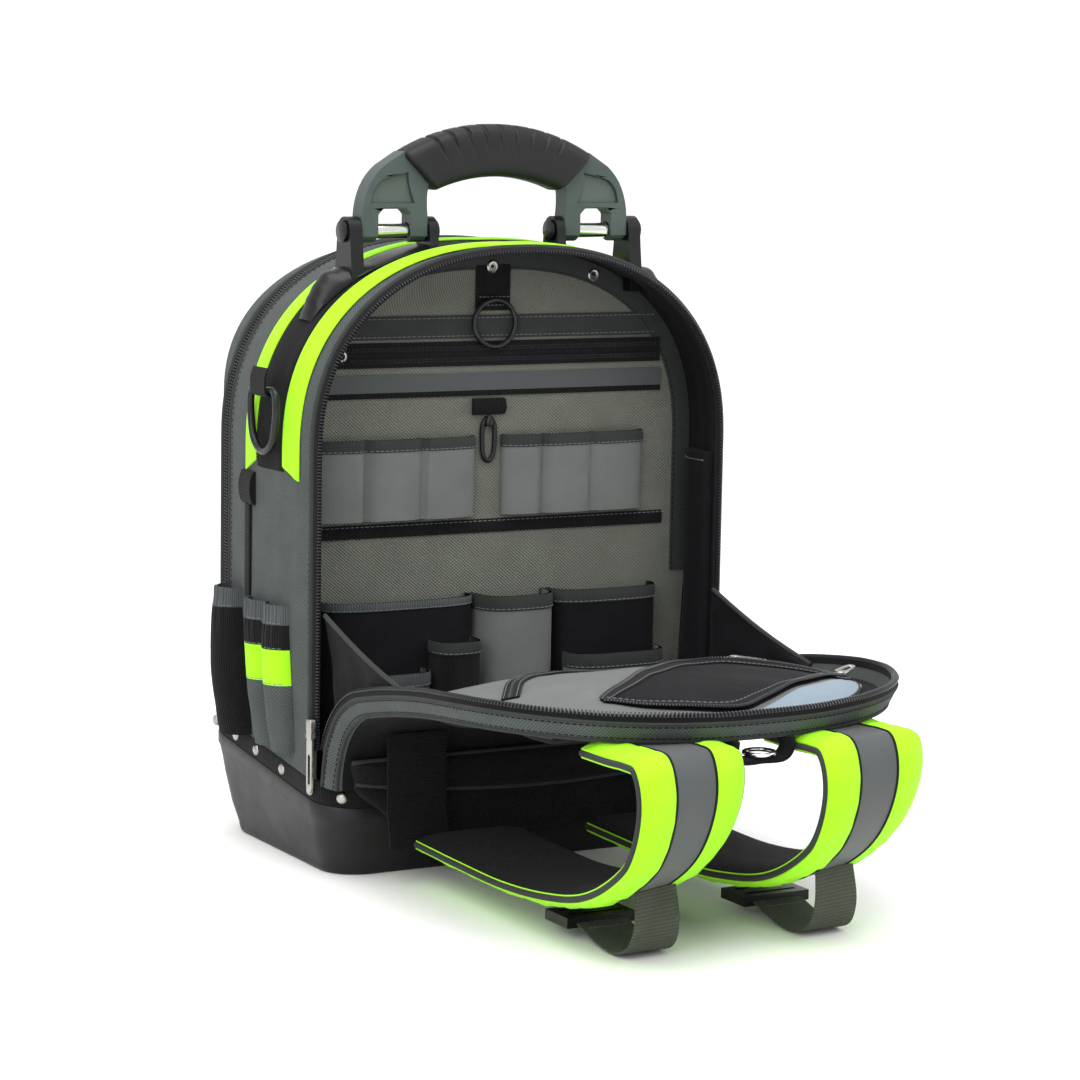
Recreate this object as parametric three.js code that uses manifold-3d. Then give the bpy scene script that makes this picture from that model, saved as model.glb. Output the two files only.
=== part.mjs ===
// Tool backpack, standing with its back panel unzipped and folded down to the front.
// Millimetres. Origin at the centre of the base's underside, +X to the right of
// someone who looks into the open compartment, +Z up, the opening faces -Y.
import * as THREE from 'three';
import { mergeVertices } from 'three/addons/utils/BufferGeometryUtils.js';
import Module from 'manifold-3d';

const wasm = await Module();
wasm.setup();

// Clearances between pieces
const seatGap = 0.3;
const runningGap = 0.35;

// The arch that the body, the zips and the folded flap share
const openingHalfWidth = 165;
const springHeight = 299;
const archRise = 141;
const archSquareness = 2.3;

// Body shell, from the front zip back to the rear zip
const shellFront = -78;
const shellDepth = 132;
const shellWall = 4;
const shellSections = 5;
const sideBulge = 10;
const crownBulgeShare = 0.2;
const bulgeFadeHeight = 95;
const zipWidth = 5;
const zipWall = 4;
const zipStartLift = 24;
const rearZipWidth = 12;
const rearZipWall = 3;
const rearPanelDepth = 34;
const rearPanelWall = 3;
const rearEdgeRounding = 34;

// Moulded base tub and the riveted strip round its rim
const tubHalfLength = 168;
const tubHalfDepth = 106;
const tubFootInset = 13;
const tubCornerRadius = 30;
const tubWall = 3.5;
const tubFloor = 4;
const tubFootChamfer = 7;
const rimHeight = 65;
const rimSlope = 0.127;
const rimStripHeight = 14;
const rimStripWall = 2.4;
const rimStep = 2.7;

// Divider panel and the rows of pockets on it
const dividerY = -24;
const dividerWall = 4;
const pocketWall = 1.8;
const trimWall = 1.6;
const dividerZipWall = 2.4;
const upperPocketTop = 304;
const upperPocketDrop = 60;
const upperPocketDepth = 9;
const upperPocketStart = -142;
const upperLeftWidth = 128;
const upperRightWidth = 119;
const upperPocketSpace = 23;
const rowPocketTop = 187;
const rowPocketDepth = 22;
const centrePocketDepth = 30;
const rowPocketStart = -138;
const rowLeftWidth = 120;
const rowCentreWidth = 61;
const rowRightWidth = 89;
const rowPocketSpace = 3;
const frontPocketFloor = 9;
const frontPocketDepth = 21;
const roundPocketOffset = 22;
const roundPocketWidth = 52;
const roundPocketTop = 138;
const cupPocketSpace = 4;
const cupPocketWidth = 36;
const cupPocketTop = 158;
const frontPocketInset = 3;
const frontPocketWidth = 80;
const frontPocketTop = 142;
const trimHalfWidth = 141;
const trimCentre = 1.5;
const dividerZipLift = 50;
const dividerZipHeight = 18;
const reflectiveHeight = 13;
const reflectiveSpace = 5;
const bandHeight = 10;
const bandSpace = 3;
const tabHalf = 14;
const tabLift = 96;
const tabHeight = 28;

// Lime strips over the gusset
const limeWidth = 20;
const limeWall = 1.2;
const limeEndHeight = 284;
const frontLimeStart = 14;
const rearLimeStart = 74;

// Carrying handle
const handleY = -24;
const pinHeight = 452;
const pinRadius = 5.5;
const pinHeadRadius = 8;
const pinHeadThickness = 3;
const outerEarWall = 10;
const earRadius = 10.5;
const earFootHalf = 16;
const outerEarX = 119.5;
const innerEarX = 49;
const innerEarWall = 7;
const outerEarDrop = 45;
const innerEarDrop = 16;
const footReach = 141;
const saddleHalf = 17;
const lobeRadius = 8;
const lobeWidth = 13.5;
const armHalfDepth = 8;
const armRecess = 3;
const gripHalfDepth = 15;
const gripTop = 529;
const gripBottom = 491;
const gripTopRadius = 153;
const gripBottomRadius = 129;
const gripTopHalf = 78;
const gripBottomHalf = 51;
const gripRounding = 5;
const coreHeight = 20;
const coreBelowTop = 10;
const gripGrooves = 9;
const gripGrooveWidth = 1.4;
const gripGrooveDepth = 2;

// Folded flap, which is the bag's back panel in its zipped boxing
const boxingHeight = 14;
const boxingWall = 3;
const flapPanelWall = 7;
const flapFaceY = -106;
const flapStandHeight = 2;
const flapBendRadius = 60;
const flapBendAngle = 77;
const flapRun = 254;
const flapEndRise = -5;
const flapEdgeTuck = 6;
const flapZipHeight = 4.2;
const flapZipWall = 4;
const flapPocketInset = 14;
const flapPocketDome = 7;
const flapPocketStart = 24;

// Side webs between the opening and the flap
const gussetTop = 187;
const gussetStart = 30;
const gussetLength = 120;
const gussetWall = 1.5;
const gussetFootLift = 2;
const gussetTopDrop = 1;

// Back pads and lumbar pad
const padThickness = 12;
const padInner = 14;
const padOuter = 130;
const padStart = 112;
const padLength = 165;
const padLobes = 3;
const padScallop = 7;
const lumbarThickness = 13;
const lumbarHalfWidth = 152;
const lumbarBottom = 26;
const lumbarTop = 87;
const lumbarBendSag = 1.1;

// Shoulder straps
const strapCentre = 69;
const strapWidth = 86;
const strapThickness = 14;
const strapSkew = 15;
const strapReach = 297;
const strapDrop = 125.8;
const strapEndY = -134;
const strapFloorLift = 21;
const strapFacetSag = 0.7;
const loopShift = 4;
const webbingWidth = 38;
const webbingWall = 1.8;
const lockWidth = 52;
const lockLength = 30;
const lockThickness = 7;
const lockHeight = 8;
const lockSlotHalf = 1.8;
const haulRingRadius = 10;
const haulRingWire = 3;
const haulLoopHalf = 21;
const haulLoopDrop = 14;
const haulLoopWidth = 15;
const haulLoopWall = 5;
const haulInset = 8;
const anchorCentre = 108;
const anchorWidth = 46;
const anchorTopLift = 20;
const anchorStandOff = 19.5;

// Fittings on the left side
const ringWire = 5.5;
const ringHalfWidth = 21;
const ringDrop = 44;
const ringTop = 341;
const ringY = -24;
const loopWidth = 24;
const oRingRadius = 17;
const oRingWire = 4;
const oRingLap = 2;
const hookLoopLift = 14;
const hookLoopHeight = 12;
const hookLoopHalf = 13;
const hookLoopDepth = 6;
const hookCentre = -2.5;
const hookWire = 3.6;
const sliderWidth = 5;
const sliderDepth = 9.7;
const sliderLength = 15;
const sliderLift = 30;
const pullLength = 38;
const pullWidth = 8.7;
const pullWall = 1.8;
const pullEyeLength = 12;
const penPocketStart = 22;
const penPocketWidth = 28;
const penPocketTop = 193;
const penPocketBulge = 23;
const sleeveTop = 190;
const sleeveBulge = 13;
const sleeveWidth = 27;
const sidePocketBottom = 84;
const tapeStrapY = 5;
const tapeStrapWidth = 10;
const tapeStrapLift = 20;
const clipLoopHeight = 24;
const clipLoopSpace = 4;
const clipLoopWidth = 22;
const clipLoopDepth = 5;

// Flat pocket on the right inner wall
const wallPocketStart = -74;
const wallPocketWidth = 42;
const wallPocketDepth = 12;
const wallPocketBottom = 110;
const wallPocketTop = 288;

// Colours, each with roughness and metalness
const finishes = {
  lime: [0xb4ff28, 0.75, 0],
  gussetGrey: [0x53595a, 0.9, 0],
  blackFabric: [0x18171a, 0.9, 0],
  greyFabric: [0x6c7065, 0.92, 0],
  pocketFabric: [0x6e716c, 0.9, 0],
  reflective: [0x6f7372, 0.5, 0.1],
  plastic: [0x2a2a2d, 0.5, 0],
  grip: [0x2b2a2c, 0.7, 0],
  arm: [0x5f6e6c, 0.6, 0],
  steel: [0xd8d8d6, 0.25, 1],
  nickel: [0x8a8884, 0.35, 1],
  webbing: [0x55584f, 0.9, 0],
};

const group = new THREE.Group();

// Adds one named piece with a material of its own
function addPiece(name, geometry, finish) {
  const [color, roughness, metalness] = finishes[finish];
  const material = new THREE.MeshStandardMaterial({ color, roughness, metalness });
  const mesh = new THREE.Mesh(geometry, material);
  mesh.name = name;
  group.add(mesh);
  return mesh;
}

// Keeps only positions and joins the vertices that coincide
function plain(geometry) {
  const copy = geometry.clone();
  copy.deleteAttribute('normal');
  copy.deleteAttribute('uv');
  return mergeVertices(copy, 1e-4);
}

// Turns the faces round where a mapping has left them pointing in
function facingOut(geometry) {
  const position = geometry.attributes.position;
  const index = geometry.index.array;
  const a = new THREE.Vector3();
  const b = new THREE.Vector3();
  const c = new THREE.Vector3();
  let volume = 0;
  for (let i = 0; i < index.length; i += 3) {
    a.fromBufferAttribute(position, index[i]);
    b.fromBufferAttribute(position, index[i + 1]);
    c.fromBufferAttribute(position, index[i + 2]);
    volume += a.dot(b.cross(c));
  }
  if (volume < 0) {
    for (let i = 0; i < index.length; i += 3) {
      const kept = index[i + 1];
      index[i + 1] = index[i + 2];
      index[i + 2] = kept;
    }
  }
  return geometry;
}

// Moves every vertex of a geometry through a function of its own position
function mapped(geometry, place) {
  const result = plain(geometry);
  const position = result.attributes.position;
  const point = new THREE.Vector3();
  for (let i = 0; i < position.count; i += 1) {
    point.fromBufferAttribute(position, i);
    const moved = place(point.x, point.y, point.z);
    position.setXYZ(i, moved.x, moved.y, moved.z);
  }
  return facingOut(result);
}

// A box whose three sides run from 0 to 1 before it is bent into place
function bentBox(alongSteps, acrossSteps, upSteps, place) {
  const box = new THREE.BoxGeometry(1, 1, 1, alongSteps, acrossSteps, upSteps);
  return mapped(box, (x, y, z) => place(x + 0.5, y + 0.5, z + 0.5));
}

function toSolid(geometry) {
  const clean = plain(geometry);
  const vertProperties = new Float32Array(clean.attributes.position.array);
  const triVerts = new Uint32Array(clean.index.array);
  return new wasm.Manifold(new wasm.Mesh({ numProp: 3, vertProperties, triVerts }));
}

function toGeometry(solid) {
  const mesh = solid.getMesh();
  const geometry = new THREE.BufferGeometry();
  geometry.setAttribute('position', new THREE.BufferAttribute(new Float32Array(mesh.vertProperties), 3));
  geometry.setIndex(new THREE.BufferAttribute(new Uint32Array(mesh.triVerts), 1));
  return geometry;
}

function blockAt(x0, x1, y0, y1, z0, z1) {
  const box = new THREE.BoxGeometry(x1 - x0, y1 - y0, z1 - z0);
  box.translate((x0 + x1) / 2, (y0 + y1) / 2, (z0 + z1) / 2);
  return box;
}

// A flat outline in X and Z, given depth along Y about a middle plane
function plateInXZ(shape, y0, y1, holes = []) {
  for (const hole of holes) {
    shape.holes.push(hole);
  }
  const plate = new THREE.ExtrudeGeometry(shape, { depth: y1 - y0, bevelEnabled: false, curveSegments: 6 });
  return mapped(plate, (x, y, z) => new THREE.Vector3(x, y0 + z, y));
}

// Smooth reading of a short table whose rows hold a place and a value
function readTable(rows, at) {
  if (at <= rows[0][0]) {
    return rows[0][1];
  }
  for (let i = 1; i < rows.length; i += 1) {
    const [start, before] = rows[i - 1];
    const [end, after] = rows[i];
    if (at <= end) {
      const share = (at - start) / (end - start);
      const eased = (1 - Math.cos(Math.PI * share)) / 2;
      return before + (after - before) * eased;
    }
  }
  return rows[rows.length - 1][1];
}

// Height of the tub's rim, which falls towards the front
function rimAt(y) {
  return rimHeight + rimSlope * y;
}

// Where cloth starts above the riveted strip
function clothStart(y) {
  return rimAt(y) + rimStripHeight + seatGap;
}

const sideSteps = 3;
const archSteps = 24;
const outlineSteps = 2 * sideSteps + archSteps;

// Point and outward direction on the arch at a step counted from the left foot
function archAt(step, footHeight) {
  if (step <= sideSteps) {
    const z = footHeight + (springHeight - footHeight) * (step / sideSteps);
    return { x: -openingHalfWidth, z, nx: -1, nz: 0 };
  }
  if (step >= sideSteps + archSteps) {
    const share = (step - sideSteps - archSteps) / sideSteps;
    return { x: openingHalfWidth, z: springHeight - (springHeight - footHeight) * share, nx: 1, nz: 0 };
  }
  const angle = Math.PI * ((step - sideSteps) / archSteps);
  const power = 2 / archSquareness;
  const cos = Math.cos(angle);
  const sin = Math.sin(angle);
  const x = -openingHalfWidth * Math.sign(cos) * Math.abs(cos) ** power;
  const z = springHeight + archRise * sin ** power;
  const slopeX = (Math.sign(x) * Math.abs(x / openingHalfWidth) ** (archSquareness - 1)) / openingHalfWidth;
  const slopeZ = ((z - springHeight) / archRise) ** (archSquareness - 1) / archRise;
  const length = Math.hypot(slopeX, slopeZ);
  return { x, z, nx: slopeX / length, nz: slopeZ / length };
}

// Share of the side bulge from the front zip (0) to the rear zip (1)
const bulgeRows = [
  [0, 0],
  [0.15, 0.5],
  [0.32, 0.85],
  [0.5, 1],
  [0.75, 0.85],
  [1, 0.5],
];

// How far the padded gusset stands out from the plain arch
function bulgeAt(y, point) {
  const along = (y - shellFront) / shellDepth;
  const turn = crownBulgeShare + (1 - crownBulgeShare) * Math.abs(point.nx);
  const lift = Math.min(1, Math.max(0, (point.z - clothStart(y)) / bulgeFadeHeight));
  return sideBulge * readTable(bulgeRows, along) * turn * lift;
}

// A band that follows the arch between two steps and two depths
function archBand({ y0, y1, depthSteps, under, over, from = 0, to = outlineSteps, steps, foot = clothStart }) {
  const count = steps ?? outlineSteps;
  return bentBox(count, depthSteps, 1, (along, across, up) => {
    const y = y0 + (y1 - y0) * across;
    const point = archAt(from + (to - from) * along, foot(y));
    const low = typeof under === 'function' ? under(y, point) : under;
    const high = typeof over === 'function' ? over(y, point, along) : over;
    const out = bulgeAt(y, point) + low + (high - low) * up;
    return new THREE.Vector3(point.x + point.nx * out, y, point.z + point.nz * out);
  });
}

// Steps from the left foot at which the arch reaches a height on its side
function stepAtHeight(height, footHeight) {
  return (sideSteps * (height - footHeight)) / (springHeight - footHeight);
}

// Rounded rectangle for the tub's outlines
function roundedRectangle(halfX, halfY, radius) {
  const shape = new THREE.Shape();
  shape.moveTo(halfX, -halfY + radius);
  shape.lineTo(halfX, halfY - radius);
  shape.absarc(halfX - radius, halfY - radius, radius, 0, Math.PI / 2, false);
  shape.lineTo(-halfX + radius, halfY);
  shape.absarc(-halfX + radius, halfY - radius, radius, Math.PI / 2, Math.PI, false);
  shape.lineTo(-halfX, -halfY + radius);
  shape.absarc(-halfX + radius, -halfY + radius, radius, Math.PI, 1.5 * Math.PI, false);
  shape.lineTo(halfX - radius, -halfY);
  shape.absarc(halfX - radius, -halfY + radius, radius, 1.5 * Math.PI, 2 * Math.PI, false);
  return shape;
}

// Solid with a rounded outline whose inset and height follow rows of [inset, height at y]
function tubBlock(grow, rows) {
  const shape = roundedRectangle(tubHalfLength + grow, tubHalfDepth + grow, tubCornerRadius + grow);
  const steps = rows.length - 1;
  const block = new THREE.ExtrudeGeometry(shape, { depth: steps, steps, bevelEnabled: false, curveSegments: 4 });
  return mapped(block, (x, y, z) => {
    const [inset, height] = rows[Math.round(z)];
    const scaleX = 1 - inset / (tubHalfLength + grow);
    const scaleY = 1 - inset / (tubHalfDepth + grow);
    return new THREE.Vector3(x * scaleX, y * scaleY, height(y * scaleY));
  });
}

function makeTub() {
  const lower = tubBlock(0, [
    [tubFootInset + tubFootChamfer / 2, () => 0],
    [tubFootInset, () => tubFootChamfer],
    [tubFootInset / 3, (y) => rimAt(y) * 0.6],
    [0, (y) => rimAt(y) - 2],
    [0, rimAt],
  ]);
  const neck = tubBlock(-rimStep, [
    [0, (y) => rimAt(y) - 6],
    [0, (y) => rimAt(y) + rimStripHeight],
  ]);
  const hollow = tubBlock(-rimStep - tubWall, [
    [tubFootInset, () => tubFloor],
    [tubFootInset / 3, (y) => rimAt(y) * 0.6],
    [0, (y) => rimAt(y) - 6],
    [0, (y) => rimAt(y) + rimStripHeight + 5],
  ]);
  const tub = toSolid(lower).add(toSolid(neck)).subtract(toSolid(hollow));
  addPiece('base_tub', toGeometry(tub), 'plastic');
  const band = tubBlock(-rimStep + seatGap + rimStripWall, [
    [0, (y) => rimAt(y) + seatGap],
    [0, (y) => rimAt(y) + rimStripHeight],
  ]);
  const bore = tubBlock(-rimStep + seatGap, [
    [0, (y) => rimAt(y) - 5],
    [0, (y) => rimAt(y) + rimStripHeight + 5],
  ]);
  addPiece('rim_strip', toGeometry(toSolid(band).subtract(toSolid(bore))), 'blackFabric');
}

// Inward tuck of the rear panel from its zip (0) to its face (1)
const rearTuckRows = [
  [0, 0],
  [0.35, 0.03],
  [0.65, 0.16],
  [0.88, 0.5],
  [1, 1],
];

const rearZipFront = shellFront + shellDepth + seatGap;
const rearPanelFront = rearZipFront + rearZipWidth + seatGap;

function makeShell() {
  const half = shellWall / 2;
  addPiece('body_shell', archBand({
    y0: shellFront, y1: shellFront + shellDepth, depthSteps: shellSections, under: -half, over: half,
  }), 'gussetGrey');
  const zipFoot = stepAtHeight(clothStart(flapFaceY) + flapStandHeight + zipStartLift, clothStart(shellFront));
  addPiece('front_zip', archBand({
    y0: shellFront - seatGap - zipWidth, y1: shellFront - seatGap, depthSteps: 1,
    under: -zipWall / 2, over: zipWall / 2, from: zipFoot, to: outlineSteps - zipFoot,
  }), 'blackFabric');
  addPiece('rear_zip', archBand({
    y0: rearZipFront, y1: rearZipFront + rearZipWidth, depthSteps: 1,
    under: -rearZipWall / 2, over: rearZipWall / 2,
  }), 'blackFabric');
}

// Half width and height that the rear panel keeps at a depth behind its zip
function rearBlock(shrink, depth) {
  const stations = [0, 0.45, 0.8, 1];
  const outline = new THREE.Shape();
  for (let step = 0; step <= outlineSteps; step += 1) {
    const point = archAt(step, 0);
    if (step === 0) {
      outline.moveTo(point.x, point.z);
    } else {
      outline.lineTo(point.x, point.z);
    }
  }
  const steps = stations.length - 1;
  const block = new THREE.ExtrudeGeometry(outline, { depth: steps, steps, bevelEnabled: false });
  return mapped(block, (x, z, deep) => {
    const share = stations[Math.round(deep)];
    const y = rearPanelFront + depth * share;
    const tuck = readTable(rearTuckRows, share) * rearEdgeRounding + shrink;
    const footHeight = clothStart(y) - (shrink > 0 ? rimStripHeight : 0);
    const crown = springHeight + archRise + shellWall / 2 - tuck;
    const rise = footHeight + ((crown - footHeight) * z) / (springHeight + archRise);
    return new THREE.Vector3(x * (1 + (shellWall / 2 - tuck) / openingHalfWidth), y, rise);
  });
}

function makeRearPanel() {
  const outer = toSolid(rearBlock(0, rearPanelDepth));
  const hollow = toSolid(rearBlock(rearPanelWall, rearPanelDepth - rearPanelWall + 1)).translate([0, -1, 0]);
  addPiece('rear_panel', toGeometry(outer.subtract(hollow)), 'gussetGrey');
}

// Lime strips and their shared start behind the opening's edge
function makeLimeStrips() {
  const strips = [
    ['lime_strip_front', frontLimeStart],
    ['lime_strip_rear', rearLimeStart],
  ];
  for (const [name, start] of strips) {
    const y0 = shellFront + start;
    const end = stepAtHeight(limeEndHeight, clothStart(y0));
    const under = shellWall / 2 + seatGap;
    const strip = toSolid(archBand({
      y0, y1: y0 + limeWidth, depthSteps: 1, under: under - 2, over: under + limeWall,
      from: end, to: outlineSteps - end, steps: outlineSteps,
    }));
    addPiece(name, toGeometry(strip.subtract(shellKeepOut())), 'lime');
  }
}

// Divider panel, cut to the inside of the shell and of the tub
function makeDivider() {
  const inset = shellWall / 2 + seatGap;
  const tubInside = tubHalfLength - rimStep - tubWall - tubFootInset - seatGap;
  const middleInside = tubHalfLength - rimStep - tubWall - tubFootInset / 3 - seatGap - 1;
  const neckInside = tubHalfLength - rimStep - tubWall - seatGap - 1;
  const neckHeight = clothStart(dividerY) + 2;
  const outline = new THREE.Shape();
  outline.moveTo(-tubInside, tubFloor + seatGap);
  outline.lineTo(-middleInside, rimAt(dividerY) * 0.6);
  outline.lineTo(-neckInside, rimAt(dividerY) - 6);
  outline.lineTo(-neckInside, neckHeight);
  for (let step = 1; step < outlineSteps; step += 1) {
    const point = archAt(step, neckHeight);
    const reach = bulgeAt(dividerY, point) - inset - seatGap;
    outline.lineTo(point.x + point.nx * reach, point.z + point.nz * reach);
  }
  outline.lineTo(neckInside, neckHeight);
  outline.lineTo(neckInside, rimAt(dividerY) - 6);
  outline.lineTo(middleInside, rimAt(dividerY) * 0.6);
  outline.lineTo(tubInside, tubFloor + seatGap);
  const panel = toSolid(plateInXZ(outline, dividerY - dividerWall / 2, dividerY + dividerWall / 2));
  addPiece('divider_panel', toGeometry(panel.subtract(shellOutside())), 'greyFabric');
}

const dividerFace = dividerY - dividerWall / 2 - seatGap;
const tabBottom = upperPocketTop + tabLift;

// Flat trim lying on the divider's front face
function dividerTrim(name, x0, x1, z0, z1, thickness, finish) {
  addPiece(name, blockAt(x0, x1, dividerFace - thickness, dividerFace, z0, z1), finish);
}

// Open-topped pocket whose front wall bows out from a backing face
function bowedPocket(name, { x0, x1, z0, z1, back, depth, flare, finish }) {
  const middle = (x0 + x1) / 2;
  const half = (x1 - x0) / 2;
  const power = 3.2;
  const outline = (grow) => {
    const shape = new THREE.Shape();
    const steps = 10;
    shape.moveTo(-half - grow, 0);
    for (let i = 0; i <= steps; i += 1) {
      const angle = Math.PI * (i / steps);
      const cos = Math.cos(angle);
      const x = -(half + grow) * Math.sign(cos) * Math.abs(cos) ** (2 / power);
      const y = (depth + grow) * Math.sin(angle) ** (2 / power);
      shape.lineTo(x, y + 0.01);
    }
    shape.lineTo(half + grow, 0);
    return shape;
  };
  const body = (grow, low, high, behind) => {
    const block = new THREE.ExtrudeGeometry(outline(grow), { depth: 1, steps: 1, bevelEnabled: false });
    return toSolid(mapped(block, (x, y, z) => {
      const open = 1 + flare * z;
      const deep = y < 0.5 ? y - behind : y * open;
      return new THREE.Vector3(middle + x, back - deep, low + (high - low) * z);
    }));
  };
  const pocket = body(0, z0, z1, 0).subtract(body(-pocketWall, z0 + pocketWall, z1 + 1, 1));
  addPiece(name, toGeometry(pocket), finish);
}

function makeDividerTrim() {
  const left = trimCentre - trimHalfWidth;
  const right = trimCentre + trimHalfWidth;
  const zipBottom = upperPocketTop + dividerZipLift;
  const stripTop = zipBottom - reflectiveSpace;
  const bandTop = upperPocketTop - upperPocketDrop - bandSpace;
  dividerTrim('divider_zip', left, right, zipBottom, zipBottom + dividerZipHeight, dividerZipWall, 'blackFabric');
  dividerTrim('reflective_strip', left, right, stripTop - reflectiveHeight, stripTop, trimWall, 'reflective');
  dividerTrim('divider_band', left, right, bandTop - bandHeight, bandTop, trimWall, 'blackFabric');
  dividerTrim('top_tab', -tabHalf, tabHalf, tabBottom, tabBottom + tabHeight, trimWall, 'blackFabric');
}

function makeInnerPockets() {
  const back = dividerFace;
  const upper = { z0: upperPocketTop - upperPocketDrop, z1: upperPocketTop, back, depth: upperPocketDepth, flare: 0.2 };
  const upperLeftEnd = upperPocketStart + upperLeftWidth;
  const upperRight = upperLeftEnd + upperPocketSpace;
  bowedPocket('upper_pocket_left', { x0: upperPocketStart, x1: upperLeftEnd, ...upper, finish: 'pocketFabric' });
  bowedPocket('upper_pocket_right', { x0: upperRight, x1: upperRight + upperRightWidth, ...upper, finish: 'pocketFabric' });
  const row = { z0: frontPocketFloor, z1: rowPocketTop, back, depth: rowPocketDepth, flare: 0 };
  const rowLeftEnd = rowPocketStart + rowLeftWidth;
  const rowCentre = rowLeftEnd + rowPocketSpace;
  const rowCentreEnd = rowCentre + rowCentreWidth;
  const rowRight = rowCentreEnd + rowPocketSpace;
  bowedPocket('row_pocket_left', { x0: rowPocketStart, x1: rowLeftEnd, ...row, finish: 'blackFabric' });
  bowedPocket('row_pocket_centre', { x0: rowCentre, x1: rowCentreEnd, ...row, depth: centrePocketDepth, finish: 'pocketFabric' });
  bowedPocket('row_pocket_right', { x0: rowRight, x1: rowRight + rowRightWidth, ...row, finish: 'blackFabric' });
  const front = dividerFace - rowPocketDepth - seatGap;
  const low = { z0: frontPocketFloor, back: front, depth: frontPocketDepth, flare: 0.08 };
  const round = rowPocketStart + roundPocketOffset;
  const cup = round + roundPocketWidth + cupPocketSpace;
  const flat = rowRight + frontPocketInset;
  bowedPocket('round_pocket', { x0: round, x1: round + roundPocketWidth, z1: roundPocketTop, ...low, finish: 'greyFabric' });
  bowedPocket('cup_pocket', { x0: cup, x1: cup + cupPocketWidth, z1: cupPocketTop, ...low, finish: 'blackFabric' });
  bowedPocket('front_pocket', { x0: flat, x1: flat + frontPocketWidth, z1: frontPocketTop, ...low, finish: 'pocketFabric' });
}

// Flat webbing that follows a path of [y, z] points, face up on its left-hand side
function webbing(path, x0, x1, thickness, steps, shift = () => 0) {
  const curve = new THREE.CatmullRomCurve3(path.map(([y, z]) => new THREE.Vector3(0, y, z)), false, 'centripetal');
  return bentBox(steps, 1, 1, (along, across, up) => {
    const point = curve.getPointAt(along);
    const tangent = curve.getTangentAt(along);
    const x = x0 + (x1 - x0) * across;
    const out = thickness * (up - 0.5);
    return new THREE.Vector3(x, point.y - tangent.z * out + shift(across, along), point.z + tangent.y * out);
  });
}

// Flap: a path in Y and Z that its outer face follows, and the tray built on it
const flapStraight = flapStandHeight;
const flapBend = flapBendRadius * THREE.MathUtils.degToRad(flapBendAngle);
const flapLength = flapStraight + flapBend + flapRun;

function flapPoint(v) {
  const foot = clothStart(flapFaceY);
  if (v <= flapStraight) {
    return { y: flapFaceY, z: foot + v, ny: 1, nz: 0 };
  }
  const bendCentreY = flapFaceY - flapBendRadius;
  const bendCentreZ = foot + flapStraight;
  const turn = THREE.MathUtils.degToRad(flapBendAngle);
  if (v <= flapStraight + flapBend) {
    const angle = (v - flapStraight) / flapBendRadius;
    const ny = Math.cos(angle);
    const nz = Math.sin(angle);
    return { y: bendCentreY + flapBendRadius * ny, z: bendCentreZ + flapBendRadius * nz, ny, nz };
  }
  const startY = bendCentreY + flapBendRadius * Math.cos(turn);
  const startZ = bendCentreZ + flapBendRadius * Math.sin(turn);
  const startRise = Math.PI / 2 - turn;
  const endRise = THREE.MathUtils.degToRad(flapEndRise);
  const share = (v - flapStraight - flapBend) / flapRun;
  const rise = startRise + (endRise - startRise) * share;
  const middleRise = (startRise + rise) / 2;
  const gone = v - flapStraight - flapBend;
  return {
    y: startY - gone * Math.cos(middleRise),
    z: startZ + gone * Math.sin(middleRise),
    ny: Math.sin(rise),
    nz: Math.cos(rise),
  };
}

// Place on the flap: x across, v along its outer face, h above that face
function onFlap(x, v, h) {
  const point = flapPoint(v);
  const stand = Math.max(0, 1 - v / flapStraight);
  const footRise = stand * (clothStart(flapFaceY + h) - clothStart(flapFaceY));
  return new THREE.Vector3(x, point.y + point.ny * h, point.z + point.nz * h + footRise);
}

// Half width of the flap at a length, with its tip on the same arch as the opening
function flapHalf(v, inset) {
  const spring = flapLength - archRise;
  const half = openingHalfWidth - inset;
  if (v <= spring) {
    return half;
  }
  const share = Math.min(1, (v - spring) / (archRise - inset));
  return half * (1 - share ** archSquareness) ** (1 / archSquareness);
}

// Shares of the flap's straight, bend and run at which its pieces have a section
const bendShares = [0.25, 0.5, 0.75, 1];
const runShares = [0.12, 0.28, 0.44];
const tipSteps = 16;

// Lengths from a start to the place where the flap's arch begins
function flapSideStations(start) {
  const spring = flapLength - archRise;
  const all = [0, flapStraight];
  for (const share of bendShares) {
    all.push(flapStraight + flapBend * share);
  }
  for (const share of runShares) {
    all.push(flapStraight + flapBend + flapRun * share);
  }
  all.push(spring);
  const later = all.filter((v) => v > start + 1);
  return [start, ...later];
}

// Slab that fills the flap's outline between two heights
function flapSlab(start, inset, low, high, acrossSteps, dome = () => 0) {
  const stations = flapSideStations(start);
  const spring = flapLength - archRise;
  const half = tipSteps / 2;
  for (let i = 1; i <= half - 1; i += 1) {
    stations.push(spring + (archRise - inset) * Math.sin((Math.PI * i) / tipSteps) ** (2 / archSquareness));
  }
  const last = flapLength - inset - 0.4;
  stations.push(last);
  const steps = stations.length - 1;
  return bentBox(steps, acrossSteps, 1, (along, across, up) => {
    const v = stations[Math.round(along * steps)];
    const side = 2 * across - 1;
    const h = low + (high - low) * up + dome(side, (v - start) / (last - start));
    return onFlap(side * flapHalf(v, inset), v, h);
  });
}

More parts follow.
